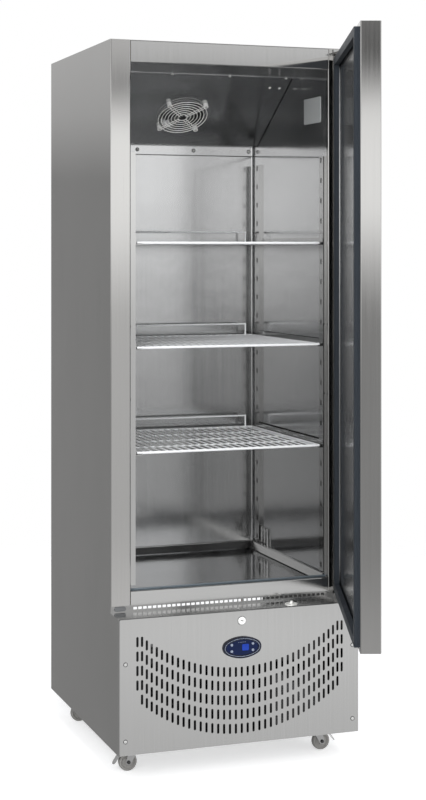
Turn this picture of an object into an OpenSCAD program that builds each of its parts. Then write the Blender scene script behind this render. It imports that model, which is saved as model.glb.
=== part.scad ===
// Upright freezer on castors: an insulated cold room behind one hinged door, over a machine bay.
// X runs to the right, Y to the back and Z up. The parts are drawn from the floor below the middle
// of the front sealing face, and then moved so that the origin is below the middle of the whole.
// The door is drawn standing open, as it rests.

/* [Cabinet] */
// Outer width of the cabinet
cabinet_w = 680; // [640:1:720]
// Depth from the front sealing face to the back
cabinet_d = 635; // [600:1:700]
// Height of the insulated box
box_h = 1496; // [1480:1:1600]
// Height of the folded panels above the floor
floor_gap = 77; // [74:0.5:86]
// Thickness of the outer sheet
skin_t = 1.2; // [0.8:0.1:1.5]
// Outside radius of the sheet's bends
bend_r = 3; // [2:0.5:4]
// Depth of the lip folded back round the door opening
lip_d = 14; // [10:1:20]

/* [Cold room] */
// Width of the left and right jambs, with their insulation
side_wall = 56; // [50:1:62]
// Height of the header above the opening
top_wall = 59; // [50:1:70]
// Depth of the insulated back
back_wall = 60; // [50:1:70]
// Height of the front frame below the opening
sill_h = 38; // [34:1:46]
// Height of the pan's floor above the underside of the box
pan_h = 22; // [16:1:28]
// Height of the pan's upstand round the floor
upstand_h = 22; // [16:1:30]
// Thickness of the liner and pan sheet
liner_t = 1.2; // [0.8:0.1:1.5]
// Radius of the liner's upright corners
liner_r = 8; // [4:1:12]

/* [Machine bay] */
// Height of the grille panel
bay_h = 355; // [345:1:380]
// How far the grille panel stands out in front of the sealing face
bay_proj = 78; // [72:1:90]
// Height of the vent strip between panel and box
vent_h = 17; // [14:1:22]
// How far the vent strip is set back
vent_inset = 6; // [4:1:10]
// Height of the base tray's rim
tray_rim = 22; // [15:1:30]

/* [Grille] */
// Width of a grille slot
slot_w = 6.4; // [5:0.2:7]
// Length of a grille slot
slot_l = 26.6; // [20:0.2:30]
// Columns on each side of the middle one
slot_side_cols = 19; // [12:1:19]
// Rows of slots
slot_rows = 5; // [3:1:5]
// Distance from one row to the next
slot_row_pitch = 37.6; // [34:0.1:38]
// Radius of the curve that the rows follow
slot_arc_r = 430; // [410:5:480]
// Angle from one column to the next on that curve
slot_arc_step = 2.23; // [2:0.01:2.3]
// Depth of the middle top slot's centre below the top of the panel
slot_top_drop = 163; // [150:1:175]

/* [Vent strip] */
// Width of a vent opening
vent_slot_w = 10; // [6:0.5:11]
// Height of a vent opening
vent_slot_h = 6.5; // [4:0.5:8]
// Distance from one vent opening to the next
vent_pitch = 13.5; // [12.5:0.5:18]

/* [Door] */
// Thickness of the door
door_t = 50; // [44:1:56]
// Gap between the roof line and the top of the door
door_top_gap = 18; // [14:1:24]
// Gap between the machine bay and the bottom of the door
door_low_gap = 10; // [9:0.5:16]
// Angle that the door stands open at rest
door_open = 70.3; // [60:0.1:80]
// How far the gasket stands proud of the door
gasket_t = 13.2; // [10:0.1:14]
// Width of the gasket
gasket_w = 22; // [18:0.5:26]
// Distance of the gasket from the edge of the door
gasket_inset = 11; // [10:0.5:16]
// Width of the folded rim round the door liner
door_rim = 15; // [12:1:20]
// Depth of the door liner below the rim
liner_recess = 3; // [1:0.5:6]
// Gap that the closed gasket leaves to the frame
seal_gap = 0.8; // [0.4:0.1:1.5]

/* [Hinges] */
// Distance of the hinge pin from the side of the door
pin_side = 15; // [13:0.5:18]
// Distance of the hinge pin behind the outer face of the door
pin_depth = 26; // [22:0.5:30]
// Diameter of the hinge pins
pin_d = 8; // [6:0.5:10]
// Outer diameter of the hinge bushes
bush_d = 14; // [12:0.5:16]
// Length of a hinge bush in the door
bush_l = 18; // [12:1:24]
// Thickness of the hinge brackets
bracket_t = 4; // [3:0.5:5]
// Width of the hinge brackets
bracket_w = 40; // [30:1:46]
// Running clearance of pins, axles and buttons
run_gap = 0.1; // [0.05:0.01:0.1]
// Gap between faces that slide or turn over each other
face_gap = 0.3; // [0.2:0.1:0.5]

/* [Shelves] */
// Gap between a shelf and the uprights on either side
shelf_gap = 6; // [3:0.5:10]
// Depth of a wire shelf
shelf_d = 520; // [480:1:525]
// Distance of the front bar behind the sealing face
shelf_front = 22; // [18:1:30]
// Diameter of the frame rod
shelf_rod = 7; // [5:0.5:8]
// Diameter of the deck wires
shelf_wire = 3.2; // [2.5:0.1:4]
// Number of deck wires
shelf_wires = 23; // [12:1:26]
// Height of the loop at the back of a shelf
shelf_lip = 35; // [20:1:50]
// Distance of that loop from the sides of the shelf
shelf_lip_inset = 22; // [15:1:60]
// Pilaster slots from one shelf to the next
shelf_step = 5; // [3:1:6]
// Pilaster slot that carries the top shelf
shelf_first = 4; // [2:1:6]

/* [Pilasters] */
// Width of a pilaster
pilaster_w = 30; // [24:1:36]
// How far a pilaster stands off the wall
pilaster_t = 8; // [5:0.5:8]
// Distance of the left uprights' faces from the wall
pilaster_left_t = 18; // [16:0.5:20]
// Distance of the front pilaster behind the sealing face
pilaster_front = 16; // [15:1:30]
// Distance of the rear pilaster from the back wall
pilaster_rear = 40; // [30:1:50]
// Distance from one pilaster slot to the next
rack_pitch = 56; // [50:1:60]
// Height of a pilaster slot
rack_slot_h = 14; // [8:0.5:18]
// Width of a pilaster slot
rack_slot_w = 9; // [6:0.5:12]
// Depth of the top slot below the ceiling
rack_top = 249; // [245:1:260]
// Width of the runner under a shelf
runner_w = 22; // [18:1:24]
// Thickness of the runner
runner_t = 1.5; // [1:0.1:2]

/* [Evaporator] */
// Height of the cover's screwed strip on the back wall
cover_strip_h = 30; // [20:1:40]
// Depth of the strip's lower edge below the ceiling
cover_low = 210; // [205:1:220]
// Depth of the slotted underside of the cover
cover_under = 38; // [30:1:46]
// Distance from the back wall to the cover's edge at the ceiling
cover_run = 314; // [300:1:330]
// Depth of the cover's flange along the ceiling
cover_flange = 30; // [20:1:40]
// Radius of the fan opening
fan_hole_r = 66; // [55:1:68]
// Radius of the fan blades
fan_r = 58; // [45:1:60]
// Radius of the guard's outer ring
guard_r = 73; // [70:1:76]
// Number of rings in the guard
guard_rings = 7; // [4:1:8]
// Thickness of the guard wire
guard_wire = 2.4; // [1.6:0.1:3]
// Distance between the guard's screws
guard_pitch = 112; // [108:1:120]

/* [Control and lock] */
// Width of the oval controller
control_w = 108; // [90:1:120]
// Height of the oval controller
control_h = 57; // [48:1:64]
// Depth of its centre below the top of the panel
control_drop = 98; // [90:1:105]
// Width of the controller's rim
control_rim = 8; // [5:0.5:10]
// Radius of the oval's ends
control_end = 20; // [18:0.5:22]
// Diameter of the buttons
button_d = 7; // [6:0.5:8]
// Distance of the buttons above and below the controller's middle
button_row = 8.5; // [7:0.5:9]
// Travel of the buttons
button_travel = 1.2; // [0.8:0.1:2]
// Diameter of the lock's collar
lock_d = 21; // [18:0.5:24]
// Depth of the lock's centre below the top of the panel
lock_drop = 27.5; // [25:0.5:34]
// Diameter of the locking bolt
bolt_d = 8; // [6:0.5:10]
// Travel of the locking bolt
bolt_travel = 16; // [12:0.5:18]

/* [Castors] */
// Diameter of the wheels
wheel_d = 50; // [46:1:54]
// Width of the wheels
wheel_w = 18; // [14:1:22]
// Distance of the wheel's axle behind the swivel axis
castor_trail = 18; // [14:1:20]
// Distance of the castors from the sides of the cabinet
castor_inset = 78; // [60:1:90]
// Distance of the front castors behind the sealing face
castor_front = 45; // [30:1:60]
// Distance of the rear castors from the back of the cabinet
castor_rear = 95; // [80:1:120]

/* [Hidden] */

// Colours
steel = "#b9bbbc";
polished = "#8d9194";
foam = "#e6d9a8";
white_coat = "#f2f3f3";
rubber = "#4a5158";
dark_metal = "#3a3c3e";
zinc = "#a9acae";
plastic_grey = "#808386";
copper_tone = "#b5713f";

// Levels above the floor
z_bay = floor_gap;
z_ledge = z_bay + bay_h;
z_box = z_ledge + vent_h;
z_roof = z_box + box_h;
z_sill = z_box + sill_h;
z_pan = z_box + pan_h;
z_ceiling = z_roof - top_wall;

// Widths and depths of the cold room
half_w = cabinet_w / 2;
room_x = half_w - side_wall;
room_y = cabinet_d - back_wall;
shelf_w = 2 * room_x - pilaster_left_t - pilaster_t - 2 * shelf_gap;
shelf_shift = (pilaster_left_t - pilaster_t) / 2;
inner_x = half_w - skin_t;
lining = max(liner_t, skin_t);

// Fineness of round parts
round_fn = 48;

// Door, in its own frame with the hinge pin on the Z axis and the outer face towards -Y
pin_x = half_w - pin_side;
pin_y = pin_depth - door_t - gasket_t - seal_gap;
door_x0 = pin_side - cabinet_w;
door_y0 = -pin_depth;
door_y1 = door_t - pin_depth;
door_z0 = z_ledge + door_low_gap;
door_z1 = z_roof - door_top_gap;
bush_collar = 2.6;

// Outermost points of the open door, and the middle of the whole in plan
door_end_x = pin_x + (pin_side - bend_r) * cos(door_open) + (pin_depth - bend_r) * sin(door_open)
    + bend_r;
door_end_y = pin_y + (door_x0 + bend_r) * sin(door_open) - (pin_depth - bend_r) * cos(door_open)
    - bend_r;
mid_x = (door_end_x - half_w) / 2;
mid_y = (door_end_y + cabinet_d) / 2;

// Pilasters and shelves
rear_pilaster_y = room_y - pilaster_rear - pilaster_w;
rack_z = z_ceiling - rack_top;
rack_foot = z_pan + upstand_h + 6;
rack_slots = floor((rack_z - rack_foot - rack_slot_h) / rack_pitch) + 1;
rack_head = rack_slot_h / 2 + 4;
shelf_drop = 5;
runner_leg = 18;

// Evaporator cover
cover_z = z_ceiling - cover_low + cover_strip_h;
cover_y = room_y - cover_under;
cover_top_y = room_y - cover_run;
cover_side_gap = 2;
cover_rise = z_ceiling - liner_t - cover_z;
cover_angle = atan2(cover_rise, cover_y - cover_top_y);
cover_len = norm([cover_rise, cover_y - cover_top_y]);
cover_slot_pitch = 22;
cover_slot_w = 12;
fan_mid_y = (cover_y + cover_top_y) / 2 + 18;
fan_mid_z = cover_z + (cover_y - fan_mid_y) * tan(cover_angle);
guard_lift = 8;
motor_r = 27;
motor_l = 52;
blade_t = 1.4;
blade_w = 26;
blade_pitch = 28;
blade_count = 5;
hub_r = 14;

// Machine bay
panel_y = -bay_proj;
panel_return = 22;
control_z = z_ledge - control_drop;
lock_z = z_ledge - lock_drop;
control_depth = 34;
bolt_l = 30;
switch_x = 152;
switch_y = panel_y + 24;
switch_base_h = 2.4;
switch_r = 9;
switch_pin_r = 5;
condenser_y = panel_y + 40;
condenser_d = 66;
condenser_w = 330;
condenser_x = -60;
condenser_h = 250;
tray_top = z_bay + skin_t;
shroud_d = 34;
bay_fan_r = 105;
fan_offset = 12;
bay_fan_y = condenser_y + condenser_d + shroud_d + fan_offset;
bay_fan_z = tray_top + condenser_h / 2 + 8;
compressor_x = 150;
compressor_y = 420;
compressor_r = 88;
stub_top = 176;
stub_x = 40;

// Castors
wheel_r = wheel_d / 2;
axle_r = 3;
fork_gap = 1.5;
fork_t = 2.5;
plate_t = 3;
plate_w = 62;
race_r = 20;
race_h = 6;
race_z = z_bay - plate_t - race_h;
castor_x = half_w - castor_inset;
castor_back_y = cabinet_d - castor_rear;
pedal_x = -castor_trail - 22;
pedal_z = wheel_r + 22;
pedal_l = 22;
pedal_fall = 54;
pedal_pin_r = 2;

// Screws
screw_head_r = 4.2;
screw_head_h = 2.4;
strip_screw_pitch = (2 * room_x - 31) / 3;
flange_screw_pitch = (2 * room_x - 49) / 3;

// A block given by its lowest and highest corners
module block(lo, hi) {
    translate(lo) cube(hi - lo);
}

// An upright quarter bend of sheet round the axis at x, y, from angle a to a + 90
module bend_up(x, y, z0, z1, a, r, t) {
    translate([x, y, z0]) rotate([0, 0, a])
        rotate_extrude(angle = 90, $fn = round_fn) translate([r - t, 0]) square([t, z1 - z0]);
}

// A level quarter bend along X round the axis at y, z, from angle a to a + 90 above +Y
module bend_along(x0, x1, y, z, a, r, t) {
    translate([x0, y, z]) rotate([90, 0, 90]) rotate([0, 0, a])
        rotate_extrude(angle = 90, $fn = round_fn) translate([r - t, 0]) square([t, x1 - x0]);
}

// A straight rod between two points
module rod(a, b, d) {
    v = b - a;
    l = norm(v);
    translate(a) rotate([0, acos(v.z / l), atan2(v.y, v.x)]) cylinder(h = l, d = d, $fn = 24);
}

// A round slot in the XY plane, long along Y
module slot_outline(w, l) {
    square([w, l - w], center = true);
    for (s = [-1, 1]) translate([0, s * (l - w) / 2]) circle(d = w, $fn = 24);
}

// Moves the parts so that the origin is on the floor below the middle of the whole
module at_middle() {
    translate([-mid_x, -mid_y, 0]) children();
}

// Puts its children on the sloping cover, local +Z pointing into the cold room
module on_cover() {
    translate([0, fan_mid_y, fan_mid_z]) rotate([180 - cover_angle, 0, 0]) children();
}

// Puts a part that is drawn in the door's frame where the open door stands
module on_door() {
    translate([pin_x, pin_y, 0]) rotate([0, 0, door_open]) children();
}

// Left side: one sheet with the jamb folded across the front and a lip folded back
module side_sheet() {
    color(steel) {
        translate([-half_w, 0, 0]) rotate([90, 0, 90]) linear_extrude(skin_t) polygon([
            [panel_y + bend_r, z_bay], [cabinet_d, z_bay], [cabinet_d, z_roof],
            [bend_r, z_roof], [bend_r, z_box], [0, z_box], [0, z_ledge],
            [panel_y + bend_r, z_ledge]
        ]);
        bend_up(-half_w + bend_r, bend_r, z_box, z_roof, 180, bend_r, skin_t);
        block([-half_w + bend_r, 0, z_box], [-room_x - bend_r, skin_t, z_roof]);
        bend_up(-room_x - bend_r, bend_r, z_box + skin_t, z_roof - skin_t, 270, bend_r, skin_t);
        block([-room_x - skin_t, bend_r, z_box + skin_t], [-room_x, lip_d, z_roof - skin_t]);
    }
}

module side_panel_left() {
    side_sheet();
}

module side_panel_right() {
    mirror([1, 0, 0]) side_sheet();
}

// Roof sheet, folded down in front as the header, with a lip over the opening
module roof_panel() {
    color(steel) {
        block([-inner_x, bend_r, z_roof - skin_t], [inner_x, cabinet_d, z_roof]);
        bend_along(-room_x, room_x, bend_r, z_roof - bend_r, 90, bend_r, skin_t);
        block([-room_x, 0, z_ceiling + bend_r], [room_x, skin_t, z_roof - bend_r]);
        bend_along(-room_x, room_x, bend_r, z_ceiling + bend_r, 180, bend_r, skin_t);
        block([-room_x, bend_r, z_ceiling], [room_x, lip_d, z_ceiling + skin_t]);
    }
}

// Back sheet of the box, with two shallow pressed fields
module rear_panel() {
    field = 1;
    margin = 60;
    middle = (z_box + z_roof) / 2;
    color(steel) difference() {
        block([-inner_x, cabinet_d - skin_t, z_box], [inner_x, cabinet_d, z_roof - skin_t]);
        for (z = [[z_box + margin, middle - margin / 2], [middle + margin / 2, z_roof - margin]])
            block([-half_w + margin, cabinet_d - field / 2, z[0]],
                [half_w - margin, cabinet_d + field, z[1]]);
    }
}

// Front frame under the opening, with the box's underside and the slotted vent strip
module front_sill() {
    vents = floor((2 * room_x - vent_slot_w) / vent_pitch);
    vent_mid = (z_ledge + z_box) / 2 - 0.5;
    color(steel) difference() {
        union() {
            bend_along(-room_x, room_x, bend_r, z_sill - bend_r, 90, bend_r, skin_t);
            block([-room_x, bend_r, z_sill - skin_t], [room_x, lip_d, z_sill]);
            block([-room_x, 0, z_box], [room_x, skin_t, z_sill - bend_r]);
            block([-inner_x, skin_t, z_box], [inner_x, cabinet_d - skin_t, z_box + skin_t]);
            block([-inner_x, vent_inset, z_ledge], [inner_x, vent_inset + skin_t, z_box]);
        }
        for (k = [0 : vents - 1])
            translate([(k - (vents - 1) / 2) * vent_pitch, vent_inset + skin_t / 2, vent_mid])
                cube([vent_slot_w, 3 * skin_t, vent_slot_h], center = true);
    }
}

// Insulation, as five slabs between the outer sheets and the liner
module foam_side() {
    color(foam)
        block([-inner_x, vent_inset + skin_t, z_box + skin_t],
            [-room_x - lining, cabinet_d - skin_t, z_roof - skin_t]);
}

module foam_left() {
    foam_side();
}

module foam_right() {
    mirror([1, 0, 0]) foam_side();
}

module foam_top() {
    x = room_x + lining;
    color(foam)
        block([-x, lip_d, z_ceiling + lining],
            [x, cabinet_d - skin_t, z_roof - skin_t]);
}

module foam_back() {
    x = room_x + lining;
    color(foam)
        block([-x, room_y + liner_t, z_pan - liner_t],
            [x, cabinet_d - skin_t, z_ceiling + lining]);
}

module foam_floor() {
    x = room_x + lining;
    color(foam)
        block([-x, lip_d, z_box + skin_t], [x, cabinet_d - skin_t, z_pan - liner_t]);
}

// Polished liner: side walls, rounded rear corners, back and ceiling
module inner_liner() {
    x = room_x;
    y = room_y;
    r = liner_r + liner_t;
    color(polished) {
        for (s = [0, 1]) mirror([s, 0, 0]) {
            block([-x - liner_t, lip_d, z_pan], [-x, y - liner_r, z_ceiling]);
            bend_up(-x + liner_r, y - liner_r, z_pan, z_ceiling, 90, r, liner_t);
        }
        block([-x + liner_r, y, z_pan], [x - liner_r, y + liner_t, z_ceiling]);
        block([-x - liner_t, lip_d, z_ceiling], [x + liner_t, y + liner_t, z_ceiling + liner_t]);
    }
}

// Welded floor pan with an upstand on all four sides
module floor_pan() {
    gap = 0.3;
    x = room_x - gap;
    y = room_y - gap;
    color(polished) difference() {
        union() {
            block([-room_x, skin_t, z_pan - liner_t], [room_x, lip_d, z_pan]);
            block([-room_x - liner_t, lip_d, z_pan - liner_t],
                [room_x + liner_t, room_y + liner_t, z_pan]);
            block([-x, lip_d + gap, z_pan], [x, y - liner_r, z_pan + upstand_h]);
            block([-x + liner_r, y - liner_r, z_pan], [x - liner_r, y, z_pan + upstand_h]);
            for (s = [-1, 1]) translate([s * (x - liner_r), y - liner_r, z_pan])
                cylinder(h = upstand_h, r = liner_r, $fn = round_fn);
        }
        block([-x + liner_t, lip_d + gap + liner_t, z_pan],
            [x - liner_t, y - liner_r, z_pan + upstand_h + 1]);
        block([-x + liner_r, y - liner_r - 1, z_pan],
            [x - liner_r, y - liner_t, z_pan + upstand_h + 1]);
        for (s = [-1, 1]) translate([s * (x - liner_r), y - liner_r, z_pan])
            cylinder(h = upstand_h + 1, r = liner_r - liner_t, $fn = round_fn);
        block([-x - 1, lip_d - 1, z_sill - skin_t - gap],
            [x + 1, lip_d + gap + liner_t, z_pan + upstand_h + 1]);
    }
}

// Distance from the middle to the face of the uprights on the left, s = 0, or on the right, s = 1
function web_x(s) = room_x - (s == 0 ? pilaster_left_t : pilaster_t);

// One slotted upright on the left wall, with its lower corner at depth y and its face at -x
module pilaster(x, y) {
    t = 1.2;
    difference() {
        block([-room_x, y, rack_foot], [-x, y + pilaster_w, rack_z + rack_head]);
        block([-room_x - 1, y + t, rack_foot - 1],
            [-x - t, y + pilaster_w - t, rack_z + rack_head + 1]);
        for (k = [0 : rack_slots - 1])
            translate([-x - t / 2, y + pilaster_w / 2, rack_z - k * rack_pitch])
                cube([3 * t, rack_slot_w, rack_slot_h], center = true);
    }
}

module pilasters() {
    color(polished)
        for (s = [0, 1], y = [pilaster_front, rear_pilaster_y]) mirror([s, 0, 0])
            pilaster(web_x(s), y);
}

// Height of the deck rods' underside on shelf i, counted from the top
function shelf_seat(i) = rack_z - (shelf_first + i * shelf_step) * rack_pitch - shelf_drop
    - shelf_rod / 2;

// Angle runners hooked to the pilasters, one pair for each shelf
module shelf_runners() {
    y0 = pilaster_front;
    y1 = rear_pilaster_y + pilaster_w;
    hook = 2.4;
    color(zinc) for (s = [0, 1], i = [0 : 2]) mirror([s, 0, 0]) {
        x = -web_x(s);
        z = shelf_seat(i);
        block([x, y0, z - runner_t], [x + runner_w, y1, z]);
        block([x, y0, z], [x + runner_t, y1, z + runner_leg]);
        for (y = [y0, rear_pilaster_y])
            translate([x - hook / 2, y + pilaster_w / 2, rack_z
                - (shelf_first + i * shelf_step) * rack_pitch])
                cube([hook, rack_slot_w - 2, rack_slot_h - 3], center = true);
    }
}

// Small bright wire clip with a foot, in the right rear corner over the pan
module corner_bracket() {
    d = 8;
    x = room_x - d / 2;
    y0 = rear_pilaster_y - 59;
    pitch = 22;
    z0 = z_pan + upstand_h;
    z1 = z0 + 56;
    color(zinc) {
        for (k = [0 : 2]) translate([x, y0 + k * pitch, z0]) cylinder(h = z1 - z0, d = d, $fn = 24);
        block([x - d / 2, y0, z0 + 6], [x - d / 2 + 2, y0 + 2 * pitch, z0 + 12]);
        block([x - d / 2, y0, z1 - 10], [x - d / 2 + 2, y0 + 2 * pitch, z1 - 4]);
        translate([x - d / 2, y0 + 2 * pitch, z0]) rotate([24, 0, 0])
            cube([2, 14, 9]);
    }
}

// Sloping evaporator cover: screwed strip, slotted underside, slope with the fan hole, flange
module evaporator_cover() {
    x = room_x - cover_side_gap;
    back_x = room_x - liner_r;
    slots = floor((2 * x - 20) / cover_slot_pitch);
    t = skin_t;
    color(polished) difference() {
        union() {
            block([-back_x, room_y - t, cover_z - cover_strip_h], [back_x, room_y, cover_z + t]);
            block([-back_x, cover_y, cover_z], [back_x, room_y - t, cover_z + t]);
            block([-x, cover_top_y - cover_flange, z_ceiling - t], [x, cover_top_y, z_ceiling]);
            translate([-x, cover_y, cover_z]) rotate([180 - cover_angle, 0, 0])
                translate([0, 0, -t]) cube([2 * x, cover_len, t]);
        }
        on_cover() cylinder(h = 8 * t, r = fan_hole_r, center = true, $fn = round_fn);
        for (k = [0 : slots - 1])
            translate([(k - (slots - 1) / 2) * cover_slot_pitch, (cover_y + room_y) / 2, cover_z])
                cube([cover_slot_w, cover_under - 14, 8 * t], center = true);
    }
}

// Wire guard: rings, and two pairs of crossing arms that end in screw eyes
module fan_guard() {
    ring_step = (guard_r - hub_r) / (guard_rings - 1);
    eye = guard_pitch / 2;
    pair = 4;
    reach = eye * sqrt(2);
    color(zinc) on_cover() {
        for (k = [0 : guard_rings - 1]) translate([0, 0, guard_lift])
            rotate_extrude($fn = round_fn)
                translate([guard_r - k * ring_step, 0]) circle(d = guard_wire, $fn = 16);
        for (a = [45 : 90 : 315]) rotate([0, 0, a]) {
            for (s = [-1, 1])
                rod([hub_r - 4, s * pair, guard_lift + guard_wire * 0.7],
                    [reach - 6, s * pair, guard_lift + guard_wire * 0.7], guard_wire);
            translate([reach, 0, 0]) difference() {
                cylinder(h = guard_lift + guard_wire * 1.2, r = 7.2, $fn = 24);
                translate([0, 0, -1]) cylinder(h = guard_lift + 8, r = 2.4, $fn = 24);
            }
        }
    }
}

// A finned block with round tubes through it, in a w by d by h box
module finned_coil(w, d, h, fins, rows, cols) {
    fin_t = 0.8;
    tube_r = 4.5;
    pitch = w / fins;
    color(zinc) {
        for (k = [0 : fins]) translate([-w / 2 + k * pitch - fin_t / 2, 0, 0]) cube([fin_t, d, h]);
        for (i = [0 : rows - 1], j = [0 : cols - 1])
            translate([-w / 2 - 6, (j + 0.5) * d / cols, (i + 0.5) * h / rows])
                rotate([0, 90, 0]) cylinder(h = w + 12, r = tube_r, $fn = 24);
    }
}

// Evaporator, hung under the ceiling behind the fan
module evaporator_coil() {
    w = 2 * room_x - 108;
    d = 68;
    h = 92;
    color(zinc) {
        translate([0, room_y - 6 - d, z_ceiling - 6 - h]) finned_coil(w, d, h, 38, 3, 2);
        for (s = [-1, 1]) translate([s * (w / 2 - 50) - 10, room_y - 6 - d, z_ceiling - 6])
            cube([20, d, 6]);
    }
}

// One shaded-pole fan motor, its shaft on the local Z axis, pointing up from the origin
module fan_motor() {
    translate([0, 0, -motor_l]) cylinder(h = motor_l - 6, r = motor_r, $fn = round_fn);
    translate([0, 0, -6]) cylinder(h = 6, r = 11, $fn = round_fn);
    cylinder(h = 16, r = 2.5, $fn = 24);
}

// The evaporator's and the condenser's fan motors, each with its carrier arms
module fan_motors() {
    color(dark_metal) {
        on_cover() translate([0, 0, -30]) {
            fan_motor();
            for (s = [-1, 1]) {
                translate([s > 0 ? motor_r - 4 : -fan_hole_r - 16, -5, -14])
                    cube([fan_hole_r + 20 - motor_r, 10, 3]);
                translate([s > 0 ? fan_hole_r + 12 : -fan_hole_r - 15, -5, -14])
                    cube([3, 10, 44 - skin_t]);
            }
        }
        translate([condenser_x, bay_fan_y, bay_fan_z]) rotate([90, 0, 0]) {
            fan_motor();
            for (a = [0 : 90 : 270]) rotate([0, 0, a]) {
                translate([motor_r - 4, -5, -10]) cube([bay_fan_r + 7 - motor_r, 10, 3]);
                translate([bay_fan_r, -5, -10]) cube([3, 10, 10 + fan_offset]);
            }
        }
    }
}

// A fan: hub with a bore for the shaft, and pitched blades cut to radius r
module fan_blades(r) {
    difference() {
        union() {
            cylinder(h = 16, r = hub_r, $fn = round_fn);
            intersection() {
                translate([0, 0, -4]) cylinder(h = 24, r = r, $fn = round_fn);
                for (k = [0 : blade_count - 1]) rotate([0, 0, k * 360 / blade_count])
                    translate([hub_r - 4, 0, 8]) rotate([blade_pitch, 0, 0])
                        translate([0, -blade_w / 2, -blade_t / 2]) cube([r, blade_w, blade_t]);
            }
        }
        translate([0, 0, -1]) cylinder(h = 16, r = 2.5 + run_gap, $fn = 24);
    }
}

module evaporator_fan_blade() {
    color(plastic_grey) on_cover() translate([0, 0, -30 + 3]) fan_blades(fan_r);
}

module condenser_fan_blade() {
    color(plastic_grey) translate([condenser_x, bay_fan_y, bay_fan_z]) rotate([90, 0, 0])
        translate([0, 0, 3]) fan_blades(bay_fan_r - 5);
}

// A pan-head screw on the local Z axis, standing on the origin
module screw_head() {
    difference() {
        union() {
            cylinder(h = screw_head_h / 2, r = screw_head_r, $fn = 24);
            translate([0, 0, screw_head_h / 2])
                cylinder(h = screw_head_h / 2, r1 = screw_head_r, r2 = screw_head_r * 0.6, $fn = 24);
        }
        for (a = [0, 90]) rotate([0, 0, a])
            translate([0, 0, screw_head_h]) cube([3.6, 0.9, 1.6], center = true);
    }
}

// Screws of the grille panel, the evaporator cover and the fan guard
module pan_head_screws() {
    x = half_w - 18;
    color(zinc) {
        for (sx = [-x, x], z = [z_bay + 37, z_ledge - 118])
            translate([sx, panel_y, z]) rotate([90, 0, 0]) screw_head();
        for (k = [-1.5 : 1.5]) {
            translate([k * strip_screw_pitch, room_y - skin_t, cover_z - cover_strip_h / 2])
                rotate([90, 0, 0]) screw_head();
            translate([k * flange_screw_pitch, cover_top_y - cover_flange / 2, z_ceiling - skin_t])
                rotate([180, 0, 0]) screw_head();
        }
        on_cover() for (a = [45 : 90 : 315]) rotate([0, 0, a])
            translate([guard_pitch / sqrt(2), 0, guard_lift + guard_wire * 1.2])
                screw_head();
    }
}

// Pattern of the air slots: every row is the same arc, one row pitch lower
module grille_pattern() {
    for (k = [-slot_side_cols : slot_side_cols], row = [0 : slot_rows - 1]) {
        last = abs(k) == slot_side_cols;
        a = (last ? abs(k) - 1 : abs(k)) * slot_arc_step;
        if (!last || row < slot_rows - 1)
            translate([slot_arc_r * sin(k * slot_arc_step),
                -slot_top_drop + slot_arc_r * (1 - cos(a)) - row * slot_row_pitch])
                slot_outline(slot_w, slot_l);
    }
}

// Front panel of the machine bay: slotted face, returns and the ledge that meets the vent strip
module grille_panel() {
    r = bend_r;
    color(steel) {
        difference() {
            block([-half_w + r, panel_y, z_bay + r], [half_w - r, panel_y + skin_t, z_ledge - r]);
            translate([0, panel_y + 2 * skin_t, z_ledge]) rotate([90, 0, 0])
                linear_extrude(4 * skin_t) grille_pattern();
            translate([0, panel_y + 2 * skin_t, control_z]) rotate([90, 0, 0])
                control_oval(control_rim + 1, 4 * skin_t);
            translate([0, panel_y - 1, lock_z]) rotate([-90, 0, 0])
                cylinder(h = 4, r = lock_d / 2 - 3, $fn = round_fn);
        }
        for (s = [0, 1]) mirror([s, 0, 0])
            bend_up(-half_w + r, panel_y + r, z_bay + r, z_ledge - r, 180, r, skin_t);
        bend_along(-half_w + r, half_w - r, panel_y + r, z_ledge - r, 90, r, skin_t);
        bend_along(-half_w + r, half_w - r, panel_y + r, z_bay + r, 180, r, skin_t);
        block([-inner_x, panel_y + r, z_bay], [inner_x, panel_y + panel_return, z_bay + skin_t]);
        difference() {
            block([-inner_x, panel_y + r, z_ledge - skin_t], [inner_x, vent_inset, z_ledge]);
            translate([0, lock_bolt_y(), z_ledge]) cylinder(h = 6, r = bolt_d / 2 + run_gap,
                center = true, $fn = 32);
            translate([switch_x, switch_y, z_ledge])
                cylinder(h = 6, r = switch_r + run_gap, center = true, $fn = 32);
        }
    }
}

// Distance of the buttons and of the lock bolt from their panel
function button_column() = control_w / 2 - control_rim - button_d / 2 - 12.5;
function lock_bolt_y() = panel_y + pin_depth;

// The controller's outline as a four-centre oval, drawn in by inset and given a depth
module control_oval(inset, depth) {
    a = control_w / 2 - inset;
    b = control_h / 2 - inset;
    small = control_end - inset;
    big = (pow(a - small, 2) + b * b - small * small) / (2 * (b - small));
    join_x = (a - small) * big / (big - small);
    for (s = [-1, 1]) translate([s * (a - small), 0, 0])
        cylinder(h = depth, r = small, $fn = round_fn);
    intersection() {
        translate([0, big - b, 0]) cylinder(h = depth, r = big, $fn = 4 * round_fn);
        translate([0, b - big, 0]) cylinder(h = depth, r = big, $fn = 4 * round_fn);
        translate([-join_x, -b, 0]) cube([2 * join_x, 2 * b, depth]);
    }
}

// Controller: bright oval rim in front, housing behind the panel
module controller_bezel() {
    color(zinc) translate([0, panel_y, control_z]) rotate([90, 0, 0]) {
        difference() {
            control_oval(0, 5);
            translate([0, 0, -1]) control_oval(control_rim, 8);
        }
    }
}

module controller_face() {
    color("#16233f") translate([0, panel_y, control_z]) rotate([90, 0, 0]) difference() {
        union() {
            control_oval(control_rim + face_gap, 4);
            translate([0, 0, -control_depth]) control_oval(control_rim + 2, control_depth + 1);
        }
        for (s = [-1, 1], t = [-1, 1]) translate([s * button_column(), t * button_row, -3])
            cylinder(h = 8, r = button_d / 2 + run_gap, $fn = 32);
    }
}

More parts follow.
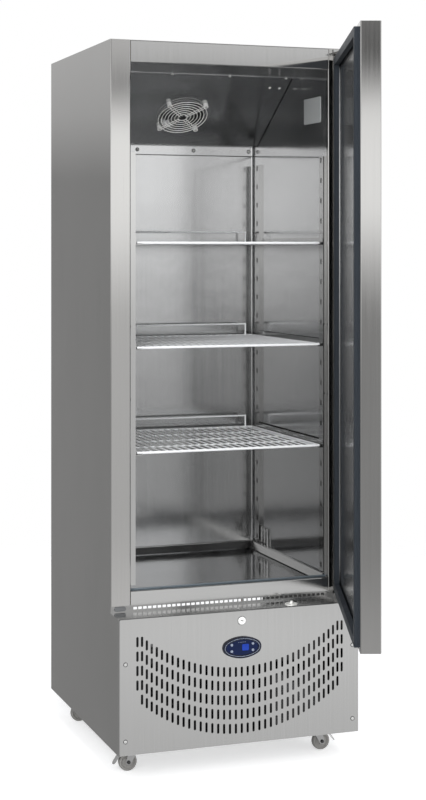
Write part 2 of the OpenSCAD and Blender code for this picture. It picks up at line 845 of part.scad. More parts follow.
// A push button of the controller, sx and sz naming its corner
module button(sx, sz) {
    color("#c9ccd0") translate([sx * button_column(), panel_y, control_z + sz * button_row])
        rotate([90, 0, 0]) {
            translate([0, 0, -3 + button_travel + face_gap])
                cylinder(h = 8 - button_travel, r = button_d / 2, $fn = 32);
        }
}

module button_upper_left() {
    button(-1, 1);
}

module button_lower_left() {
    button(-1, -1);
}

module button_upper_right() {
    button(1, 1);
}

module button_lower_right() {
    button(1, -1);
}

// Lock: collar and housing fixed in the panel
module lock_body() {
    guide_z = z_ledge - skin_t;
    color(zinc) {
        translate([0, panel_y, lock_z]) rotate([90, 0, 0]) difference() {
            union() {
                cylinder(h = 2, r = lock_d / 2, $fn = round_fn);
                translate([0, 0, 2]) cylinder(h = 1, r1 = lock_d / 2, r2 = lock_d / 2 - 1.5, $fn = round_fn);
                translate([0, 0, -16]) cylinder(h = 16, r = lock_d / 2 - 3.4, $fn = round_fn);
            }
            translate([0, 0, -17]) cylinder(h = 22, r = lock_d / 2 - 5 + run_gap, $fn = 32);
        }
        translate([0, lock_bolt_y(), guide_z - 12]) difference() {
            cylinder(h = 12, r = bolt_d / 2 + 3, $fn = 32);
            translate([0, 0, -1]) cylinder(h = 14, r = bolt_d / 2 + run_gap, $fn = 32);
        }
    }
}

// Turning barrel with the key slot in front and the lifting crank behind
module lock_barrel() {
    color(steel) translate([0, panel_y, lock_z]) rotate([90, 0, 0]) difference() {
        union() {
            translate([0, 0, -20]) cylinder(h = 22.6, r = lock_d / 2 - 5, $fn = 32);
            translate([0, 0, -20]) cylinder(h = 3.4, r = lock_d / 2 - 3.4, $fn = 32);
        }
        translate([0, 0, 2]) cube([6, 1.2, 3], center = true);
    }
}

// Rising bolt, guided below the ledge and clear of the door when it is down
module lock_bolt() {
    color(zinc) translate([0, lock_bolt_y(), z_ledge - bolt_l])
        cylinder(h = bolt_l, d = bolt_d, $fn = 32);
}

// Door switch on the ledge: a low round flange with its body below
module door_switch_body() {
    color(white_coat) translate([switch_x, switch_y, z_ledge]) difference() {
        union() {
            cylinder(h = switch_base_h, r = 17, $fn = round_fn);
            translate([0, 0, -26]) cylinder(h = 26, r = switch_r, $fn = 32);
        }
        translate([0, 0, -18]) cylinder(h = 24, r = switch_pin_r + run_gap, $fn = 32);
    }
}

module door_switch_plunger() {
    top = door_low_gap - 1;
    color(white_coat) translate([switch_x, switch_y, z_ledge]) {
        translate([0, 0, -12]) cylinder(h = 12 + switch_base_h, r = switch_pin_r, $fn = 32);
        translate([0, 0, switch_base_h])
            cylinder(h = top - switch_base_h, r1 = switch_pin_r, r2 = switch_pin_r - 1.6, $fn = 32);
    }
}

// Base tray with its rim, and the four castor plates and races under it
module base_tray() {
    x = inner_x;
    y0 = panel_y + panel_return;
    y1 = cabinet_d - 2;
    color(zinc) {
        difference() {
            block([-x, y0, z_bay], [x, y1, z_bay + tray_rim]);
            block([-x + skin_t, y0 + skin_t, tray_top], [x - skin_t, y1 - skin_t, z_bay + tray_rim + 1]);
        }
        for (sx = [-1, 1], y = [castor_front, castor_back_y]) translate([sx * castor_x, y, 0]) {
            block([-plate_w / 2, -plate_w / 2, z_bay - plate_t], [plate_w / 2, plate_w / 2, z_bay]);
            translate([0, 0, race_z]) difference() {
                cylinder(h = race_h, r = race_r, $fn = round_fn);
                translate([0, 0, -1]) cylinder(h = race_h, r = 6 + run_gap, $fn = 32);
            }
        }
    }
}

// Hermetic compressor: domed pot on four rubber feet, with its terminal cover
module compressor() {
    h = 150;
    foot = 14;
    color(dark_metal) translate([compressor_x, compressor_y, tray_top]) {
        translate([0, 0, foot]) {
            cylinder(h = 6, r = compressor_r + 8, $fn = round_fn);
            cylinder(h = h * 0.55, r = compressor_r, $fn = round_fn);
            translate([0, 0, h * 0.55]) cylinder(h = 4, r = compressor_r + 3, $fn = round_fn);
            intersection() {
                translate([0, 0, h * 0.35]) sphere(r = compressor_r * 1.18, $fn = round_fn);
                translate([0, 0, h * 0.55]) cylinder(h = h, r = compressor_r - 1, $fn = round_fn);
            }
            translate([-34, -compressor_r - 26, 22]) cube([68, 40, 56]);
            for (x = [0, stub_x]) translate([x, 0, h * 0.55])
                cylinder(h = stub_top - foot - h * 0.55, r = 7, $fn = 32);
        }
        for (a = [45 : 90 : 315]) rotate([0, 0, a]) translate([compressor_r - 6, 0, 0])
            cylinder(h = foot, r = 11, $fn = 32);
    }
}

// Condenser behind the grille, on the base tray
module condenser_coil() {
    color(dark_metal) translate([condenser_x, condenser_y, tray_top])
        finned_coil(condenser_w, condenser_d, condenser_h, 46, 8, 3);
}

// Sheet shroud behind the condenser, with the ring that the fan turns in
module condenser_shroud() {
    y = condenser_y + condenser_d;
    w = condenser_w / 2 - 4;
    color(dark_metal) difference() {
        union() {
            block([condenser_x - w, y, tray_top], [condenser_x + w, y + shroud_d - 16, tray_top + condenser_h]);
            translate([condenser_x, y + shroud_d - 16, bay_fan_z]) rotate([-90, 0, 0])
                cylinder(h = 16, r = bay_fan_r + 3, $fn = round_fn);
        }
        block([condenser_x - w + 1.5, y - 1, tray_top + 1.5],
            [condenser_x + w - 1.5, y + shroud_d - 17.5, tray_top + condenser_h - 1.5]);
        translate([condenser_x, y - 1, bay_fan_z]) rotate([-90, 0, 0])
            cylinder(h = shroud_d + 4, r = bay_fan_r, $fn = round_fn);
    }
}

// Copper pipework: delivery line with the filter drier, and suction line up to the box
module refrigerant_pipes() {
    d = 8;
    x = [condenser_x + condenser_w / 2 + 6, compressor_x, compressor_x + stub_x];
    y = [condenser_y + condenser_d / 2, compressor_y, cabinet_d - 30];
    z = [tray_top + stub_top, tray_top + condenser_h * 15 / 16, z_box - 20];
    color(copper_tone) {
        rod([x[1], y[1], z[0]], [x[1], y[1], z[1]], d);
        rod([x[1], y[1], z[1]], [x[1], y[0], z[1]], d);
        rod([x[0], y[0], z[1]], [x[1], y[0], z[1]], d);
        rod([x[1], y[0] + 90, z[1]], [x[1], y[0] + 190, z[1]], 22);
        rod([x[2], y[1], z[0]], [x[2], y[1], z[2]], d);
        rod([x[2], y[1], z[2]], [x[2], y[2], z[2]], d);
        rod([x[2], y[2], z[2]], [x[2], y[2], z_box], d);
        for (p = [[x[1], y[1], z[1]], [x[1], y[0], z[1]], [x[2], y[1], z[2]], [x[2], y[2], z[2]]])
            translate(p) sphere(d = d, $fn = 24);
    }
}

// Tray over the compressor that catches and dries the defrost water
module drip_tray() {
    x = [-inner_x + 30, -110];
    y = [330, cabinet_d - 60];
    h = 34;
    color(plastic_grey) difference() {
        block([x[0], y[0], tray_top], [x[1], y[1], tray_top + h]);
        block([x[0] + 2, y[0] + 2, tray_top + 2], [x[1] - 2, y[1] - 2, tray_top + h + 1]);
    }
}

// Electrical box under the cold box, with the gland that takes the supply cable at the back
module electrical_box() {
    x = [-60, 60];
    y = [cabinet_d - 130, cabinet_d - 12];
    z = [tray_top, tray_top + 110];
    color(plastic_grey) {
        block([x[0], y[0], z[0]], [x[1], y[1], z[1]]);
        translate([0, y[1], z[1] - 30]) rotate([-90, 0, 0]) difference() {
            union() {
                cylinder(h = 5, r = 12, $fn = 6);
                translate([0, 0, 5]) cylinder(h = 7, r = 8, $fn = 32);
            }
            translate([0, 0, -1]) cylinder(h = 14, r = 4.2, $fn = 32);
        }
    }
}

// Arm of a hinge bracket, from the pin back to depth y
module hinge_arm(z, y) {
    r = pin_side - skin_t - 0.3;
    w = bracket_w - r;
    block([pin_x - w, pin_y, z], [pin_x + r, y, z + bracket_t]);
    block([pin_x - w + r, pin_y - r, z], [pin_x, pin_y, z + bracket_t]);
    for (x = [pin_x, pin_x - w + r]) translate([x, pin_y, z])
        cylinder(h = bracket_t, r = r, $fn = round_fn);
}

// Hinge brackets with their pins: the upper on the jamb, the lower on the ledge and vent strip
module hinge_brackets() {
    upper = door_z1 + face_gap + bush_collar;
    lower = door_z0 - face_gap - bush_collar - bracket_t;
    x = [pin_x + pin_side - skin_t - 0.3 - bracket_w, pin_x + pin_side - skin_t - 0.3];
    color(steel) {
        hinge_arm(upper, 0);
        block([x[0], -bracket_t, upper], [x[1], 0, z_roof - 3]);
        translate([pin_x, pin_y, door_z1 - bush_l + 2])
            cylinder(h = upper - door_z1 + bush_l - 2, d = pin_d, $fn = 32);
        hinge_arm(lower, vent_inset);
        block([x[0], -20, z_ledge], [x[1], vent_inset, lower + 1]);
        block([x[0], vent_inset - bracket_t, lower], [x[1], vent_inset, z_box - 0.5]);
        translate([pin_x, pin_y, lower])
            cylinder(h = door_z0 + bush_l - 2 - lower, d = pin_d, $fn = 32);
    }
}

// Door skin: folded tray with a rim round the liner, drilled for the bushes and the bolt
module door_skin() {
    r = bend_r;
    x0 = door_x0;
    x1 = pin_side;
    t = skin_t;
    color(steel) on_door() difference() {
        union() {
            block([x0 + r, door_y0, door_z0], [x1 - r, door_y1, door_z1]);
            block([x0, door_y0 + r, door_z0], [x1, door_y1 - r, door_z1]);
            for (x = [x0 + r, x1 - r], y = [door_y0 + r, door_y1 - r])
                translate([x, y, door_z0]) cylinder(h = door_z1 - door_z0, r = r, $fn = round_fn);
        }
        block([x0 + t, door_y0 + t, door_z0 + t], [x1 - t, door_y1 - t, door_z1 - t]);
        block([x0 + door_rim, door_y1 - 2 * t, door_z0 + door_rim],
            [x1 - door_rim, door_y1 + 1, door_z1 - door_rim]);
        for (z = [door_z0, door_z1]) translate([0, 0, z])
            cylinder(h = 4 * t, d = bush_d, center = true, $fn = 32);
        translate([-pin_x, lock_bolt_y() - pin_y, door_z0])
            cylinder(h = 4 * t, d = bolt_d + 4, center = true, $fn = 32);
    }
}

// Insulation of the door
module door_foam() {
    t = skin_t;
    color(foam) on_door() difference() {
        block([door_x0 + t, door_y0 + t, door_z0 + t],
            [pin_side - t, door_y1 - t - liner_recess, door_z1 - t]);
        translate([0, 0, door_z0]) cylinder(h = bush_l + 1, d = bush_d, $fn = 32);
        translate([0, 0, door_z1 - bush_l - 1]) cylinder(h = bush_l + 2, d = bush_d, $fn = 32);
        translate([-pin_x, lock_bolt_y() - pin_y, door_z0])
            cylinder(h = bolt_travel + 6, d = bolt_d + 4, $fn = 32);
    }
}

// Polished door liner, a shallow pan behind the rim
module door_liner() {
    t = skin_t;
    x0 = door_x0 + t;
    x1 = pin_side - t;
    color(polished) on_door() difference() {
        block([x0, door_y1 - t - liner_recess, door_z0 + t], [x1, door_y1 - t, door_z1 - t]);
        block([door_x0 + door_rim + liner_t, door_y1 - t - liner_recess + liner_t,
                door_z0 + door_rim + liner_t],
            [pin_side - door_rim - liner_t, door_y1, door_z1 - door_rim - liner_t]);
        for (z = [door_z0, door_z1]) translate([0, 0, z])
            cylinder(h = 2 * bush_l + 4, d = bush_d + 1, center = true, $fn = 32);
    }
}

// One course of the gasket: a rectangular ring inset from the edge of the door
module gasket_course(inset, width, y0, y1) {
    a = gasket_inset + inset;
    b = a + width;
    difference() {
        block([door_x0 + a, y0, door_z0 + a], [pin_side - a, y1, door_z1 - a]);
        block([door_x0 + b, y0 - 1, door_z0 + b], [pin_side - b, y1 + 1, door_z1 - b]);
    }
}

// Bellows gasket: a foot, two folds and the magnet strip that meets the frame
module door_gasket() {
    y = door_y1;
    g = gasket_t / 6;
    color(rubber) on_door() {
        gasket_course(gasket_w * 0.2, gasket_w * 0.6, y, y + g);
        gasket_course(0, gasket_w, y + g, y + 2 * g);
        gasket_course(gasket_w * 0.15, gasket_w * 0.7, y + 2 * g, y + 3 * g);
        gasket_course(0, gasket_w, y + 3 * g, y + 4 * g);
        gasket_course(gasket_w * 0.1, gasket_w * 0.8, y + 4 * g, y + 6 * g);
    }
}

// Collared bushes that the hinge pins turn in
module door_bushes() {
    color(white_coat) on_door() for (s = [0, 1])
        translate([0, 0, s * (door_z0 + door_z1)]) mirror([0, 0, s])
            translate([0, 0, door_z0 - bush_collar]) difference() {
                union() {
                    cylinder(h = bush_collar, r = bush_d / 2 + 3, $fn = 32);
                    cylinder(h = bush_l + bush_collar, d = bush_d, $fn = 32);
                }
                translate([0, 0, -1]) cylinder(h = bush_l + bush_collar,
                    r = pin_d / 2 + run_gap, $fn = 32);
            }
}

// A wire shelf: frame rod, deck wires over three cross rods, and the loop at the back
module wire_shelf(i) {
    z = shelf_seat(i) + shelf_rod / 2;
    r = shelf_rod / 2;
    x0 = shelf_shift - shelf_w / 2 + r;
    x1 = shelf_shift + shelf_w / 2 - r;
    y0 = shelf_front + r;
    y1 = shelf_front + shelf_d - r;
    deck = z + r - shelf_wire / 2 - 0.4;
    weld = 0.2;
    wire_pitch = (x1 - x0) / (shelf_wires + 1);
    color(white_coat) {
        for (y = [y0, y1]) rod([x0, y, z], [x1, y, z], shelf_rod);
        for (x = [x0, x1]) rod([x, y0, z], [x, y1, z], shelf_rod);
        for (x = [x0, x1], y = [y0, y1]) translate([x, y, z]) sphere(d = shelf_rod, $fn = 24);
        for (k = [1 : 3]) let (y = y0 + k * (y1 - y0) / 4)
            rod([x0, y, deck - shelf_wire + weld], [x1, y, deck - shelf_wire + weld],
                shelf_wire + 2 * weld);
        for (k = [1 : shelf_wires])
            rod([x0 + k * wire_pitch, y0, deck], [x0 + k * wire_pitch, y1, deck], shelf_wire);
        let (a = x0 + shelf_lip_inset, b = x1 - shelf_lip_inset, top = z + shelf_lip, d = shelf_rod - 2) {
            for (x = [a, b]) rod([x, y1, z], [x, y1, top], d);
            rod([a, y1, top], [b, y1, top], d);
            for (x = [a, b]) translate([x, y1, top]) sphere(d = d, $fn = 24);
        }
    }
}

module shelf_top() {
    wire_shelf(0);
}

module shelf_middle() {
    wire_shelf(1);
}

module shelf_bottom() {
    wire_shelf(2);
}

// Fork of a castor, drawn round its swivel axis with the wheel trailing towards -X. The front forks
// carry the pin of the brake pedal on two arms.
module castor_fork(braked) {
    inside = wheel_w / 2 + fork_gap;
    crown = race_z - face_gap;
    color(zinc) {
        translate([0, 0, crown - 4]) cylinder(h = 4, r = race_r - 1, $fn = round_fn);
        translate([0, 0, crown - 1]) cylinder(h = 1 + face_gap + race_h - 2, r = 6, $fn = 32);
        for (s = [0, 1]) mirror([0, s, 0]) translate([0, inside + fork_t, 0]) rotate([90, 0, 0])
            linear_extrude(fork_t) {
                polygon([[-castor_trail - 6, wheel_r - 1], [-castor_trail + 6, wheel_r - 5],
                    [race_r - 6, crown - 3], [race_r - 6, crown - 0.5], [-race_r + 6, crown - 0.5],
                    [-castor_trail - 7, wheel_r + 3]]);
                translate([-castor_trail, wheel_r]) circle(r = 7, $fn = 32);
                if (braked) {
                    polygon([[pedal_x - 3, pedal_z - 4], [-race_r + 8, crown - 16],
                        [-race_r + 8, crown - 1], [-race_r + 2, crown - 1], [pedal_x - 3, pedal_z + 4]]);
                    translate([pedal_x, pedal_z]) circle(r = 5, $fn = 32);
                }
            }
        if (braked) translate([pedal_x, -inside - fork_t, pedal_z]) rotate([-90, 0, 0])
            cylinder(h = 2 * (inside + fork_t), r = pedal_pin_r, $fn = 24);
        translate([-castor_trail, -inside - fork_t - 2, wheel_r]) rotate([-90, 0, 0])
            cylinder(h = 2 * (inside + fork_t + 2), r = axle_r, $fn = 32);
    }
}

// Wheel of a castor, on the same axis
module castor_wheel() {
    tread = 2;
    color(plastic_grey) translate([-castor_trail, 0, wheel_r]) rotate([90, 0, 0]) difference() {
        union() {
            cylinder(h = wheel_w - 2 * tread, r = wheel_r, center = true, $fn = round_fn);
            cylinder(h = wheel_w, r = wheel_r - tread, center = true, $fn = round_fn);
            rotate_extrude($fn = round_fn) for (s = [-1, 1])
                translate([wheel_r - tread, s * (wheel_w / 2 - tread)]) circle(r = tread, $fn = 24);
        }
        cylinder(h = wheel_w + 2, r = axle_r + run_gap, center = true, $fn = 32);
        for (s = [-1, 1]) translate([0, 0, s * wheel_w / 2]) difference() {
            cylinder(h = 5, r = wheel_r - 7, center = true, $fn = round_fn);
            cylinder(h = 6, r = 8, center = true, $fn = 32);
        }
    }
}

// Brake pedal, turning on the pin between the arms of a front fork
module brake_pedal() {
    w = wheel_w + 2 * fork_gap - 2 * face_gap;
    color(dark_metal) translate([pedal_x, 0, pedal_z]) difference() {
        union() {
            rotate([90, 0, 0]) cylinder(h = w, r = 4, center = true, $fn = 32);
            rotate([0, -pedal_fall, 0]) {
                translate([-pedal_l, -w / 2, -1]) cube([pedal_l, w, 2]);
                translate([-pedal_l, 0, -1]) cylinder(h = 2, r = w / 2, $fn = 32);
            }
        }
        rotate([90, 0, 0]) cylinder(h = w + 2, r = pedal_pin_r + run_gap, center = true, $fn = 24);
    }
}

// Places a castor part at its corner of the base
module at_castor(sx, y) {
    translate([sx * castor_x, y, 0]) children();
}

// The right-hand castors are drawn trailing the other way
module outward(sx) {
    mirror([sx > 0 ? 1 : 0, 0, 0]) children();
}

module castor_fork_front_left() {
    at_castor(-1, castor_front) castor_fork(true);
}

module castor_fork_front_right() {
    at_castor(1, castor_front) outward(1) castor_fork(true);
}

module castor_fork_rear_left() {
    at_castor(-1, castor_back_y) castor_fork(false);
}

module castor_fork_rear_right() {
    at_castor(1, castor_back_y) outward(1) castor_fork(false);
}

module castor_wheel_front_left() {
    at_castor(-1, castor_front) castor_wheel();
}

module castor_wheel_front_right() {
    at_castor(1, castor_front) outward(1) castor_wheel();
}

module castor_wheel_rear_left() {
    at_castor(-1, castor_back_y) castor_wheel();
}

module castor_wheel_rear_right() {
    at_castor(1, castor_back_y) outward(1) castor_wheel();
}

module brake_pedal_left() {
    at_castor(-1, castor_front) brake_pedal();
}

module brake_pedal_right() {
    at_castor(1, castor_front) outward(1) brake_pedal();
}

at_middle() side_panel_left();
at_middle() side_panel_right();
at_middle() roof_panel();
at_middle() rear_panel();
at_middle() front_sill();
at_middle() foam_left();
at_middle() foam_right();
at_middle() foam_top();
at_middle() foam_back();
at_middle() foam_floor();
at_middle() inner_liner();
at_middle() floor_pan();
at_middle() pilasters();
at_middle() shelf_runners();
at_middle() corner_bracket();
at_middle() evaporator_cover();
at_middle() fan_guard();
at_middle() evaporator_coil();
at_middle() fan_motors();
at_middle() pan_head_screws();
at_middle() grille_panel();
at_middle() controller_bezel();
at_middle() controller_face();
at_middle() lock_body();
at_middle() door_switch_body();
at_middle() base_tray();
at_middle() compressor();
at_middle() condenser_coil();
at_middle() condenser_shroud();
at_middle() refrigerant_pipes();
at_middle() drip_tray();
at_middle() electrical_box();
at_middle() hinge_brackets();
at_middle() door_skin();
at_middle() door_foam();
at_middle() door_liner();
at_middle() door_gasket();
at_middle() door_bushes();
at_middle() shelf_top();
at_middle() shelf_middle();
at_middle() shelf_bottom();
at_middle() door_switch_plunger();
at_middle() button_upper_left();
at_middle() button_lower_left();
at_middle() button_upper_right();
at_middle() button_lower_right();
at_middle() lock_barrel();
at_middle() lock_bolt();
at_middle() evaporator_fan_blade();
at_middle() condenser_fan_blade();
at_middle() castor_fork_front_left();
at_middle() castor_fork_front_right();
at_middle() castor_fork_rear_left();
at_middle() castor_fork_rear_right();
at_middle() castor_wheel_front_left();
at_middle() castor_wheel_front_right();
at_middle() castor_wheel_rear_left();
at_middle() castor_wheel_rear_right();
at_middle() brake_pedal_left();
at_middle() brake_pedal_right();
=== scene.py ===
"""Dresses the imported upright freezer: finishes for the solids, and the thin pieces that they lack."""

import logging
import math
from dataclasses import dataclass
from enum import Enum
from typing import Dict, Optional, Sequence, Tuple

import bpy
import numpy as np
from mathutils import Euler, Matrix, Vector


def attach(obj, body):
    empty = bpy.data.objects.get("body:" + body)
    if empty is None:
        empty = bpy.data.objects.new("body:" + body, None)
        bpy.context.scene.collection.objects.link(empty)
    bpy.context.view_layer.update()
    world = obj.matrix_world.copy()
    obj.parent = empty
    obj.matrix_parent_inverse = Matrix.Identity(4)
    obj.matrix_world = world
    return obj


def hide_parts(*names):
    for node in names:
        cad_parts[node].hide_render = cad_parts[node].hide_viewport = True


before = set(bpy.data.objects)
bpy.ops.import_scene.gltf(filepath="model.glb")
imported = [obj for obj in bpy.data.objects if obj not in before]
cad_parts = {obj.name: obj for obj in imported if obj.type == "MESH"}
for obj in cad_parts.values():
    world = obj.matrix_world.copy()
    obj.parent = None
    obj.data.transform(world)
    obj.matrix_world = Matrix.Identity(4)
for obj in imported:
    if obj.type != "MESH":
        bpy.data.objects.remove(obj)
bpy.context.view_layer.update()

Vec3 = Tuple[float, float, float]
Stops = Sequence[Tuple[float, Vec3]]
Levels = Tuple[Tuple[float, float], ...]
Socket = bpy.types.NodeSocket
LOG = logging.getLogger("freezer")

# The middle of the whole in plan, measured from the middle of the sealing face, in metres.
MID_X, MID_Y = 0.00684948, -0.01850335
# A quarter turn, and the turn that makes a shell drawn facing up face the front.
QUARTER = math.pi / 2
FORWARD = Euler((QUARTER, 0, 0))
# The span that most values of fractal noise lie in.
NOISE_LOW, NOISE_HIGH = 0.3, 0.7
# Cells per metre of the wiped patches on metal and on coatings.
METAL_PATCHES: Vec3 = (3.1, 3.1, 2.3)
COATING_PATCHES: Vec3 = (11.0, 11.0, 11.0)
# How far the patches lower and raise the roughness of metal.
PATCH_SHINE, PATCH_DULL = 0.02, 0.03
# Share of the fine peel in a coating's colour, and the value at which that colour is lightest.
PEEL_SHARE, PEEL_TOP = 0.35, 0.65
CLEAR_COAT_ROUGHNESS = 0.12
PLAIN_WHITE: Vec3 = (1.0, 1.0, 1.0)
# Painted shade inside the machine bay: the share of the metal's own colour left on faces that look into
# the bay, so that the bay reads dark.
BAY_PAINTED_SHADE: Vec3 = (0.07, 0.07, 0.07)


def at(x: float, y: float, z: float) -> np.ndarray:
    """Returns a point given from the middle of the sealing face, moved into the shared frame."""
    return np.array([x - MID_X, y - MID_Y, z])


@dataclass(frozen=True)
class Layer:
    """One layer of fractal noise.

    Attributes:
        cells: cells per unit of the place that it is read at.
        octaves: how many times it is laid over itself at half the size.
        rough: share that each octave keeps of the one before.
    """

    cells: float
    octaves: float
    rough: float


class Graph:
    """Short calls that fill one node tree."""

    def __init__(self, tree: bpy.types.NodeTree) -> None:
        """Keeps the node tree of a material, a world or a group."""
        self.tree = tree

    def node(self, kind: str, **settings: object) -> bpy.types.Node:
        """Adds a node.

        Args:
            kind: the node's type, without the ShaderNode prefix.
            **settings: properties of the node.

        Returns:
            The new node.
        """
        made = self.tree.nodes.new(kind if kind.startswith("Node") else "ShaderNode" + kind)
        for key, value in settings.items():
            setattr(made, key, value)
        return made

    def link(self, source: Socket, target: Socket) -> None:
        """Joins an output to an input."""
        self.tree.links.new(source, target)

    def coords(self, scale: Vec3) -> Socket:
        """Reads Object coordinates.

        Args:
            scale: cells per metre along each axis.

        Returns:
            The coordinates, stretched by the scale.
        """
        place = self.node("TexCoord")
        stretch = self.node("Mapping")
        stretch.inputs["Scale"].default_value = scale
        self.link(place.outputs["Object"], stretch.inputs["Vector"])
        return stretch.outputs["Vector"]

    def noise(self, vector: Socket, layer: Layer) -> Socket:
        """Adds fractal noise.

        Args:
            vector: the place that it is read at.
            layer: its scale, octaves and roughness.

        Returns:
            A value between 0 and 1.
        """
        made = self.node("TexNoise")
        made.inputs["Scale"].default_value = layer.cells
        made.inputs["Detail"].default_value = layer.octaves
        made.inputs["Roughness"].default_value = layer.rough
        self.link(vector, made.inputs["Vector"])
        return made.outputs["Fac"]

    def ramp(self, factor: Socket, stops: Stops) -> Socket:
        """Looks a colour up along stops.

        Args:
            factor: where along the stops.
            stops: pairs of position and colour.

        Returns:
            The colour.
        """
        made = self.node("ValToRGB")
        ends = made.color_ramp.elements
        while len(ends) < len(stops):
            ends.new(0.5)
        for element, (place, colour) in zip(ends, stops):
            element.position = place
            element.color = (*colour, 1.0)
        self.link(factor, made.inputs["Fac"])
        return made.outputs["Color"]

    def remap(self, value: Socket, low: float, high: float, start: float = NOISE_LOW,
              end: float = NOISE_HIGH, kind: str = "LINEAR") -> Socket:
        """Maps a value from one span onto another, and holds it at the ends.

        Args:
            value: what is mapped.
            low: result at the start of the span.
            high: result at the end of the span.
            start: start of the span.
            end: end of the span.
            kind: name of the blend between the ends.

        Returns:
            The mapped value.
        """
        made = self.node("MapRange", interpolation_type=kind)
        for name, number in (("From Min", start), ("From Max", end), ("To Min", low), ("To Max", high)):
            made.inputs[name].default_value = number
        self.link(value, made.inputs["Value"])
        return made.outputs["Result"]

    def math(self, operation: str, first: Socket, second: "Socket | float" = 0.0) -> Socket:
        """Works out one Math node.

        Args:
            operation: name of the node's operation.
            first: its first value.
            second: its second value, where the operation has one.

        Returns:
            The result.
        """
        made = self.node("Math", operation=operation)
        self.link(first, made.inputs[0])
        if isinstance(second, (int, float)):
            made.inputs[1].default_value = second
        else:
            self.link(second, made.inputs[1])
        return made.outputs[0]

    def blend(self, first: Socket, second: Socket, share: float) -> Socket:
        """Adds the share of the first value to the rest of the second."""
        return self.math("ADD", self.math("MULTIPLY", first, share),
                         self.math("MULTIPLY", second, 1 - share))

    def mix(self, factor: "Socket | float", first: Socket, second: Socket,
            blend: str = "MIX") -> Socket:
        """Mixes two colours.

        Args:
            factor: share of the second colour.
            first: the colour below.
            second: the colour laid over it.
            blend: name of the way in which they are mixed.

        Returns:
            The mixed colour.
        """
        made = self.node("Mix", data_type="RGBA", blend_type=blend)
        if isinstance(factor, (int, float)):
            made.inputs[0].default_value = factor
        else:
            self.link(factor, made.inputs[0])
        self.link(first, made.inputs[6])
        self.link(second, made.inputs[7])
        return made.outputs[2]

    def seen(self) -> Socket:
        """Tells the rays that show a background from those that only carry light.

        Returns:
            1 for camera, glossy and transmission rays, else 0.
        """
        ray = self.node("LightPath")
        mirror = self.math("MAXIMUM", ray.outputs["Is Glossy Ray"],
                           ray.outputs["Is Transmission Ray"])
        return self.math("MAXIMUM", mirror, ray.outputs["Is Camera Ray"])

    def bump(self, height: Socket, depth: float, under: Optional[Socket] = None) -> Socket:
        """Pushes normals by a height.

        Args:
            height: value between 0 and 1.
            depth: metres that a height of 1 stands up.
            under: normals of a coarser bump.

        Returns:
            The normals.
        """
        made = self.node("Bump")
        made.inputs["Strength"].default_value = 1.0
        made.inputs["Distance"].default_value = depth
        self.link(height, made.inputs["Height"])
        if under is not None:
            self.link(under, made.inputs["Normal"])
        return made.outputs["Normal"]


class Effect(Enum):
    """The shader node groups that several finishes share.

    Each has the group's name, its first layer, that layer's share, and the layer that fills the
    rest. A first layer of None stands for rounded cells.
    """

    BRUSH = ("brushed_lines", Layer(1.0, 5.0, 0.7), 0.6, Layer(0.17, 2.0, 0.5))
    SMUDGE = ("wiped_smudges", Layer(1.0, 3.0, 0.5), 0.75, Layer(4.3, 2.0, 0.6))
    PEEL = ("fine_peel", None, 0.5, Layer(0.6, 3.0, 0.5))


def effect_group(effect: Effect) -> bpy.types.NodeTree:
    """Builds a shared group once, with a Vector input and a Mask output.

    Args:
        effect: which of the shared effects.

    Returns:
        The group's node tree.
    """
    name, first, share, second = effect.value
    found = bpy.data.node_groups.get(name)
    if found:
        return found
    tree = bpy.data.node_groups.new(name, "ShaderNodeTree")
    tree.interface.new_socket("Vector", in_out="INPUT", socket_type="NodeSocketVector")
    tree.interface.new_socket("Mask", in_out="OUTPUT", socket_type="NodeSocketFloat")
    graph = Graph(tree)
    source = graph.node("NodeGroupInput").outputs["Vector"]
    target = graph.node("NodeGroupOutput").inputs["Mask"]
    if first is None:
        cells = graph.node("TexVoronoi", feature="SMOOTH_F1")
        cells.inputs["Scale"].default_value = 1.0
        graph.link(source, cells.inputs["Vector"])
        lower = cells.outputs["Distance"]
    else:
        lower = graph.noise(source, first)
    graph.link(graph.blend(lower, graph.noise(source, second), share), target)
    return tree


def place_effect(graph: Graph, effect: Effect, scale: Vec3) -> Socket:
    """Places a shared group in a material.

    Args:
        graph: the material's nodes.
        effect: which group.
        scale: cells per metre along each axis.

    Returns:
        The group's mask.
    """
    made = graph.node("Group", node_tree=effect_group(effect))
    graph.link(graph.coords(scale), made.inputs["Vector"])
    return made.outputs["Mask"]


def scaled(tone: Vec3, share: float) -> Vec3:
    """Returns a colour times a share, kept at or below white."""
    return tuple(min(1.0, part * share) for part in tone)


def new_material(name: str) -> Tuple[bpy.types.Material, Graph, bpy.types.Node]:
    """Starts a material.

    Args:
        name: its name.

    Returns:
        The material, the calls that fill its nodes, and its Principled BSDF.
    """
    made = bpy.data.materials.new(name)
    made.use_nodes = True
    return made, Graph(made.node_tree), made.node_tree.nodes["Principled BSDF"]


